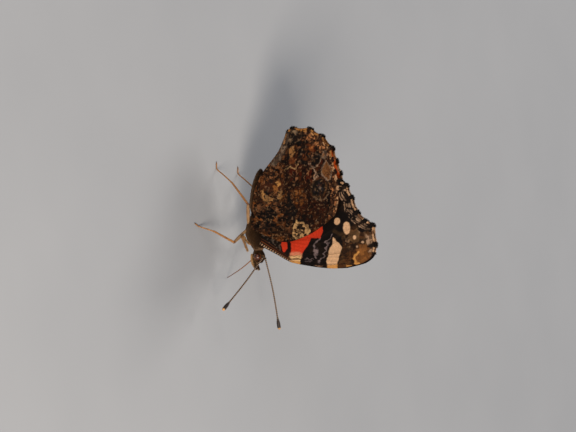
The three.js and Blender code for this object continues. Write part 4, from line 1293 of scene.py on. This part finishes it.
SPIKE_SIDES = 5
SPIKE_REFERENCE = (-0.3, -0.5, -0.81)
SPIKE_FLOOR = 0.005
ANTENNA_START = (6.3, 0.55, 10.35)
ANTENNA_REACH = dict(left=(16.6, 6.1, 0.35), right=(13.2, -10.7, -4.55))
ANTENNA_RADII = (0.175, 0.44)
ANTENNA_RINGS = 38
ANTENNA_STATIONS = 420
PROBOSCIS_POINTS = ((6.2, 0, 7.6), (8.55, 0, 4.05), (10.55, 0, 0.2))
PROBOSCIS_STATIONS = 160
PALP_POINTS = ((5.3, 0.5, 7.35), (7.2, 0.59, 7.675), (9.1, 0.56, 8.72))
PALP_RADIUS = 0.34
PALP_STATIONS = 110


def round_piece(name, curve, radii, sides, colours, material, slot, nodes, shape=np.ones_like, spikes=()):
    """A limb: a tube along a curve, with any spikes joined to it. colours has a row for each place."""
    points = [tube(*curve, radii, sides, shape)]
    groups = [*tube_faces(len(radii), sides)]
    all_colours = [np.repeat(colours, sides, axis=0), colours[:1], colours[-1:]]
    for spike_points, spike_faces, spike_colour in spikes:
        groups.append(spike_faces + sum(map(len, points)))
        points.append(spike_points)
        all_colours.append(np.tile(spike_colour, (len(spike_points), 1)))
    piece = mesh_object(name, np.vstack(points), groups)
    set_paint(piece, np.vstack(all_colours))
    dress(piece, material, slot, *nodes)


def limb_hair(name, slot, curve, radii, colour_of, count, picks, stray, lengths, widths, lift,
              shades=None, sink=0.95):
    """Hair on a limb, lying towards its tip. picks says between which of its places."""
    places, directions = curve
    pick = random.integers(*picks, count)
    turn = random.uniform(0, 2 * math.pi, count)
    normals = around(*square_to(directions[pick]), turn)
    roots = places[pick] + normals * (radii[pick] * sink)[:, None]
    leans = directions[pick] + random.normal(0, stray, (count, 3))
    share = pick / (len(places) - 1)
    root_uv = np.stack([inset(share, 0.03), inset(turn / (2 * math.pi), 0.03)], -1)
    colours = colour_of(pick, share, turn)
    size, width = random.uniform(*lengths, count), random.uniform(*widths, count)
    if shades:
        colours = shaded(colours, *shades)
    piece = tufts(name, roots, leans, normals, size, width, colours, root_uv, lift)
    dress(piece, HAIR_MATERIAL, slot)


def spikes_at(roots, directions, lengths, width, colour):
    """Thin cones, such as the spines and claws of a leg: their points, faces and colour."""
    directions = unit(directions)
    across, up = square_to(directions, SPIKE_REFERENCE)
    ring = roots[:, None] + width * around(across[:, None], up[:, None], full_turn(SPIKE_SIDES))
    tips = roots + directions * np.asarray(lengths)[:, None]
    points = np.concatenate([ring, roots[:, None], tips[:, None]], 1).reshape(-1, 3)
    points[:, 2] = np.maximum(points[:, 2], SPIKE_FLOOR)
    start = np.arange(len(roots))[:, None, None] * (SPIKE_SIDES + 2)
    j, k = np.arange(SPIKE_SIDES), (np.arange(SPIKE_SIDES) + 1) % SPIKE_SIDES
    base = np.stack([np.full(SPIKE_SIDES, SPIKE_SIDES), k, j], -1)
    cone = np.stack([j, k, np.full(SPIKE_SIDES, SPIKE_SIDES + 1)], -1)
    return points, (start + np.concatenate([base, cone])).reshape(-1, 3), colour


def antenna(side_name, side):
    """A thin black shaft with white rings, ending in a club with a pale tip."""
    start = np.array(ANTENNA_START) * [1, side, 1]
    reach = np.array(ANTENNA_REACH[side_name])
    middle = start + 0.45 * reach + [0, 0, 0.35]
    curve = curve_through([start, middle, start + reach], ANTENNA_STATIONS)
    t = np.linspace(0, 1, ANTENNA_STATIONS)
    to_tip = (1 - t) * np.linalg.norm(reach)
    club = smooth((3.3 - to_tip) / 1.9) * (1 - 0.55 * smooth((0.7 - to_tip) / 0.7))
    ring = (t * ANTENNA_RINGS) % 1
    radii = mix(*ANTENNA_RADII, club) * (1 - 0.1 * np.exp(-((ring - 0.02) / 0.12) ** 2))
    radii *= 1 + 0.9 * np.exp(-(t / 0.012) ** 2)
    radii *= np.sqrt(np.clip(to_tip / 0.3, 0.02, 1))
    white = spread(ring, 0.7, 0.76) * (1 - smooth((3.2 - to_tip) / 1.2))
    rusty = smooth((3.0 - to_tip) / 0.8) * smooth((to_tip - 0.8) / 0.5) * spread(ring, 0.7, 0.9)
    colours = mix(BLACK * 1.3, WHITE, (0.7 * white)[:, None])
    colours = mix(colours, mix(GOLD, CREAM, 0.5), smooth((0.62 - to_tip) / 0.3)[:, None])
    colours = mix(colours, RUST, (0.4 * rusty)[:, None])
    round_piece(f"antenna_{side_name}_shaft", curve, radii, 18, colours, ANTENNA_MATERIAL, "antenna",
                [f"antenna_{side_name}"])


def grooved(angle):
    """The shape of a section with a groove above and below."""
    return 1 - 0.22 * np.abs(np.sin(angle)) ** 6


def proboscis():
    """The tongue reaches down to the floor, two half tubes side by side."""
    curve = curve_through(PROBOSCIS_POINTS, PROBOSCIS_STATIONS)
    t = np.linspace(0, 1, PROBOSCIS_STATIONS)
    radii = mix(0.16, 0.085, t) * (1 + 0.05 * np.sin(t * 260))
    colours = mix(mix(RUST, GOLD, 0.35), mix(RUST, SOOT, 0.4), (t ** 1.5)[:, None])
    round_piece("proboscis_tube", curve, radii, 24, colours, PROBOSCIS_MATERIAL, "proboscis",
                ["proboscis"], grooved)


def palp(side_name, side):
    """A scaly palp points forward from under the face."""
    start, middle, end = (np.array(point) * [1, side, 1] for point in PALP_POINTS)
    curve = curve_through([start, middle, end], PALP_STATIONS)
    t = np.linspace(0, 1, PALP_STATIONS)
    radii = PALP_RADIUS * (0.8 + 0.42 * np.sin(math.pi * t * 0.8)) * (1 - 0.04 * np.cos(t * 18))
    radii *= np.sqrt(np.clip((1 - t) / 0.35, 0.01, 1))
    upper = mix(SOOT, BROWN, 0.5)
    colours = mix(mix(CREAM, TAN, 0.4), upper, smooth((t - 0.55) / 0.3)[:, None])
    round_piece(f"palp_{side_name}_scales", curve, radii, 22, colours, SKIN_MATERIAL, "palp",
                [f"palp_{side_name}"])

    def hair_colour(_, share, turn):
        dark = np.clip(smooth(np.sin(turn) * 2) + 0.6 * smooth((share - 0.5) / 0.3), 0, 1)
        return mix(mix(CREAM, TAN, 0.25), upper, dark[:, None])

    limb_hair(f"palp_{side_name}_hair", "palp", curve, radii, hair_colour, count=1500,
              picks=(0, PALP_STATIONS - 6), stray=0.14, lengths=(0.2, 0.42), widths=(0.045, 0.08),
              lift=0.16, shades=(0.7, 1.2))


# Legs

# Joint points of the left side, as in the solids. A foot is (x, y) of the toe on the floor.
LEGS = dict(
    mid=dict(root=(-0.3, 1.45, 6.25), knee=(2.8, 5.0, 5.1), ankle=(0.6, 10.0, 2.7), foot=(-1.0, 14.5)),
    hind=dict(root=(-1.9, 1.5, 6.9), knee=(-6.1, 4.7, 8.7), ankle=(-11.4, 4.9, 4.5), foot=(-16.6, 4.9)),
)
LEG_STATIONS = (70, 80, 130)
FOOT_LENGTH = 1.5
FOOT_HEIGHT = 0.125
PIECES_OF_FOOT = 5
FORELEG_THIGH = ((3.2, 1.35, 7.4), (2.4, 2.2, 6.95), (1.35, 3.05, 6.5))
FORELEG_SHIN = ((1.35, 3.05, 6.5), (1.5, 3.55, 6.5), (3.1, 3.2, 7.0), (4.8, 2.75, 7.5))


def leg(leg_name, place, side_name, side):
    """A whole leg: thigh, shin with spurs, and a jointed foot with spines and claws."""
    root, knee, ankle, toe = (
        np.array(point, float) * [1, side, 1]
        for point in (place["root"], place["knee"], place["ankle"], (*place["foot"], FOOT_HEIGHT)))
    heel = toe - FOOT_LENGTH * unit((toe - ankle) * [1, 1, 0])
    heel[2] = FOOT_HEIGHT * 1.25
    thigh = np.linspace(root, knee, LEG_STATIONS[0])
    shin = np.linspace(knee, ankle, LEG_STATIONS[1])
    foot = curve_through([ankle, mix(ankle, heel, 0.55), heel, toe], LEG_STATIONS[2])[0]
    places = np.vstack([thigh, shin[1:], foot[1:]])
    # part counts from 0 at the root to 1 at the knee, 2 at the ankle and 3 at the toe.
    shares = [index + np.linspace(0, 1, count) for index, count in enumerate(LEG_STATIONS)]
    part = np.concatenate([shares[0], shares[1][1:], shares[2][1:]])
    knuckle = (part - 2) * PIECES_OF_FOOT % 1
    radii = np.select([part <= 1, part <= 2], [
        0.36 * (0.72 + 0.4 * np.sin(math.pi * np.clip(part, 0, 1)) ** 0.8),
        0.235 * (1.12 - 0.28 * (part - 1)),
    ], 0.165 * (1 - 0.18 * (part - 2)) * (0.86 + 0.2 * np.sin(math.pi * knuckle) ** 0.6))
    for joint, swell in ((1, 0.12), (2, 0.1)):
        radii *= 1 + swell * np.exp(-((part - joint) / 0.03) ** 2)
    radii[-1] *= 0.6
    places[:, 2] = np.maximum(places[:, 2], radii)
    directions = headings(places)

    cream, amber = mix(mix(CREAM, PINK_GREY, 0.45), BROWN, 0.3), mix(mix(TAN, ORANGE, 0.14), BROWN, 0.2)
    grain = fractal(places, 0.5, 3, 70)[:, None]
    colours = np.where(part[:, None] <= 1, mix(cream, TAN, grain), mix(amber, GOLD, grain))
    colours = mix(colours, mix(RUST, SOOT, 0.45), np.exp(-((part - 1) / 0.04) ** 2)[:, None] * 0.8)
    dark = 0.7 * (knuckle > 0.8) * (part > 2)
    colours = mix(colours, mix(TAN, SOOT, 0.5), dark[:, None])

    def spines(start, stop, count, length, tilt):
        """Spines on both sides in turn, between two places counted as part."""
        pick = np.linspace(*np.searchsorted(part, (start, stop - 1e-6)), count).astype(int)
        across = -square_to(directions[pick])[0]
        below = np.cross(across, directions[pick])
        below *= -np.sign(below[:, 2:3])
        out = across * np.where(np.arange(count) % 2, 1, -1)[:, None] * 0.8 + below * 0.25
        roots = places[pick] + out * (radii[pick] * 0.8)[:, None]
        colour = mix(SOOT, RUST, 0.3)
        return spikes_at(roots, out + directions[pick] * tilt, np.full(count, length), 0.028, colour)

    def pair(at, apart, turned, drop, lengths, width, colour):
        """Two spikes side by side that point ahead and away from one another."""
        sideways = np.cross(directions[at], [0, 0, 1.0]) * [[1], [-1]]
        ahead = directions[at] + sideways * turned - [0, 0, drop]
        return spikes_at(places[at] + sideways * apart, ahead, lengths, width, colour)

    spurs = dict(apart=0.12, turned=0.35, drop=0, lengths=[0.6, 0.5], width=0.05)
    claws = dict(apart=0.05, turned=0.4, drop=0.16, lengths=[0.34, 0.34], width=0.04)
    spikes = (
        spines(1.15, 1.95, count=18, length=0.34, tilt=0.9),
        spines(2.08, 2.62, count=16, length=0.22, tilt=1.0),
        pair(np.searchsorted(part, 1.97), colour=mix(TAN, RUST, 0.4), **spurs),
        pair(-1, colour=mix(SOOT, RUST, 0.4), **claws),
    )
    name = f"{leg_name}leg_{side_name}"
    nodes = [f"{name}_{node}" for node in ("femur", "tibia", "tarsus")]
    curve = places, directions
    round_piece(f"{name}_limb", curve, radii, 18, colours, LEG_MATERIAL, "leg", nodes, spikes=spikes)
    limb_hair(f"{name}_hair", "leg", curve, radii, lambda pick, share, turn: colours[pick], count=650,
              picks=(2, int(len(places) * 0.56)), stray=0.12, lengths=(0.16, 0.34),
              widths=(0.035, 0.06), lift=0.14, shades=(0.7, 1.15))


def foreleg(side_name, side):
    """The small brush-like front leg, folded against the side of the thorax."""
    thigh, shin = (
        curve_through([np.array(point) * [1, side, 1] for point in points], count)[0]
        for points, count in ((FORELEG_THIGH, 50), (FORELEG_SHIN, 80)))
    places = np.vstack([thigh, shin[1:]])
    curve = places, headings(places)
    t = np.linspace(0, 1, len(places))
    radii = 0.17 * (0.8 + 0.35 * np.sin(math.pi * t)) * np.sqrt(np.clip((1 - t) / 0.06, 0.05, 1))
    colours = mix(mix(TAN, ORANGE, 0.15), CREAM, 0.3 * fractal(places, 0.4, 2, 80)[:, None])
    nodes = [f"foreleg_{side_name}_femur", f"foreleg_{side_name}_tibia"]
    round_piece(f"foreleg_{side_name}_limb", curve, radii, 16, colours, LEG_MATERIAL, "leg", nodes)

    def hair_colour(pick, share, turn):
        return mix(mix(TAN, OLIVE, 0.4), CREAM, random.uniform(0, 0.6, len(pick))[:, None])

    limb_hair(f"foreleg_{side_name}_hair", "leg", curve, radii, hair_colour, count=1100,
              picks=(4, len(places) - 2), stray=0.16, lengths=(0.3, 0.6), widths=(0.04, 0.07),
              lift=0.22, sink=0.9)


# Stage, lights and camera

LIGHT_TARGET = Vector((0, 0, 0.018))


def stage():
    """A wide, plain, pale floor."""
    bpy.ops.mesh.primitive_plane_add(size=6, location=(0, 0, 0))
    floor = bpy.context.object
    floor.name = "floor"
    shader = Shader("floor_paper", 0.85, 0.2)
    tone = shader.ramp(shader.noise(40, 2), [(0.3, (0.40, 0.43, 0.48)), (0.7, (0.42, 0.45, 0.50))])
    floor.data.materials.append(shader.finish(tone))


def area_light(name, place, size, power, colour):
    """A square lamp in metres and watts, turned to the middle of the butterfly."""
    data = bpy.data.lights.new(name, "AREA")
    data.size = size
    data.energy = power
    data.color = colour
    lamp = bpy.data.objects.new(name, data)
    lamp.location = place
    lamp.rotation_euler = (LIGHT_TARGET - Vector(place)).to_track_quat("-Z", "Y").to_euler()
    bpy.context.scene.collection.objects.link(lamp)


def lights():
    """A dim world, a warm key light, a weak fill, and a light from behind."""
    world = bpy.data.worlds.new("studio")
    world.use_nodes = True
    background = world.node_tree.nodes["Background"]
    background.inputs["Color"].default_value = (0.9, 0.93, 1.0, 1)
    background.inputs["Strength"].default_value = 0.22
    bpy.context.scene.world = world
    area_light("key", (0.42, -0.46, 0.4), size=0.26, power=5.3, colour=(1.0, 0.86, 0.7))
    area_light("fill", (-0.5, -0.5, 0.35), size=0.5, power=0.9, colour=(1.0, 0.95, 0.9))
    area_light("rim", (-0.25, 0.5, 0.55), size=0.3, power=2.3, colour=(1.0, 0.9, 0.78))


# The camera looks across and down at the right side, rolled so that the head points down the
# picture.
VIEW_RIGHT = Vector((0, 0.5037, 0.8639))
VIEW_DOWN = Vector((0.9927, 0.1041, -0.0607))
VIEW_AHEAD = Vector((-0.1205, 0.8576, -0.5))
VIEW_CENTRE = (-3.26, 0.07, 16.9)
VIEW_DISTANCE = 0.755
VIEW_LENS = 200


def camera():
    """A long lens, far off, with the colours shown as they are."""
    bpy.context.scene.view_settings.view_transform = "Standard"
    data = bpy.data.cameras.new("camera")
    data.lens = VIEW_LENS
    data.sensor_width = 36
    data.clip_start = 0.05
    data.clip_end = 20
    looking = bpy.data.objects.new("camera", data)
    centre = Vector(((VIEW_CENTRE[0] + SHIFT_X) * MM, VIEW_CENTRE[1] * MM, VIEW_CENTRE[2] * MM))
    place = centre - VIEW_AHEAD * VIEW_DISTANCE
    turn = Matrix((VIEW_RIGHT, -VIEW_DOWN, -VIEW_AHEAD)).transposed().normalized()
    looking.matrix_world = Matrix.Translation(place) @ turn.to_4x4()
    bpy.context.scene.collection.objects.link(looking)
    bpy.context.scene.camera = looking


body()
hair()
for side_name, side in SIDES:
    eye(side_name, side)
for side_name, side in SIDES:
    palp(side_name, side)
proboscis()
for side_name, side in SIDES:
    antenna(side_name, side)
for side_name, side in SIDES:
    for leg_name, place in LEGS.items():
        leg(leg_name, place, side_name, side)
    foreleg(side_name, side)
    for plan, paint_outside, paint_inside in WINGS:
        grid, middle = wing(plan, side, side_name, paint_outside, paint_inside)
        fringe(plan, side, side_name, grid, middle)
stage()
lights()
camera()
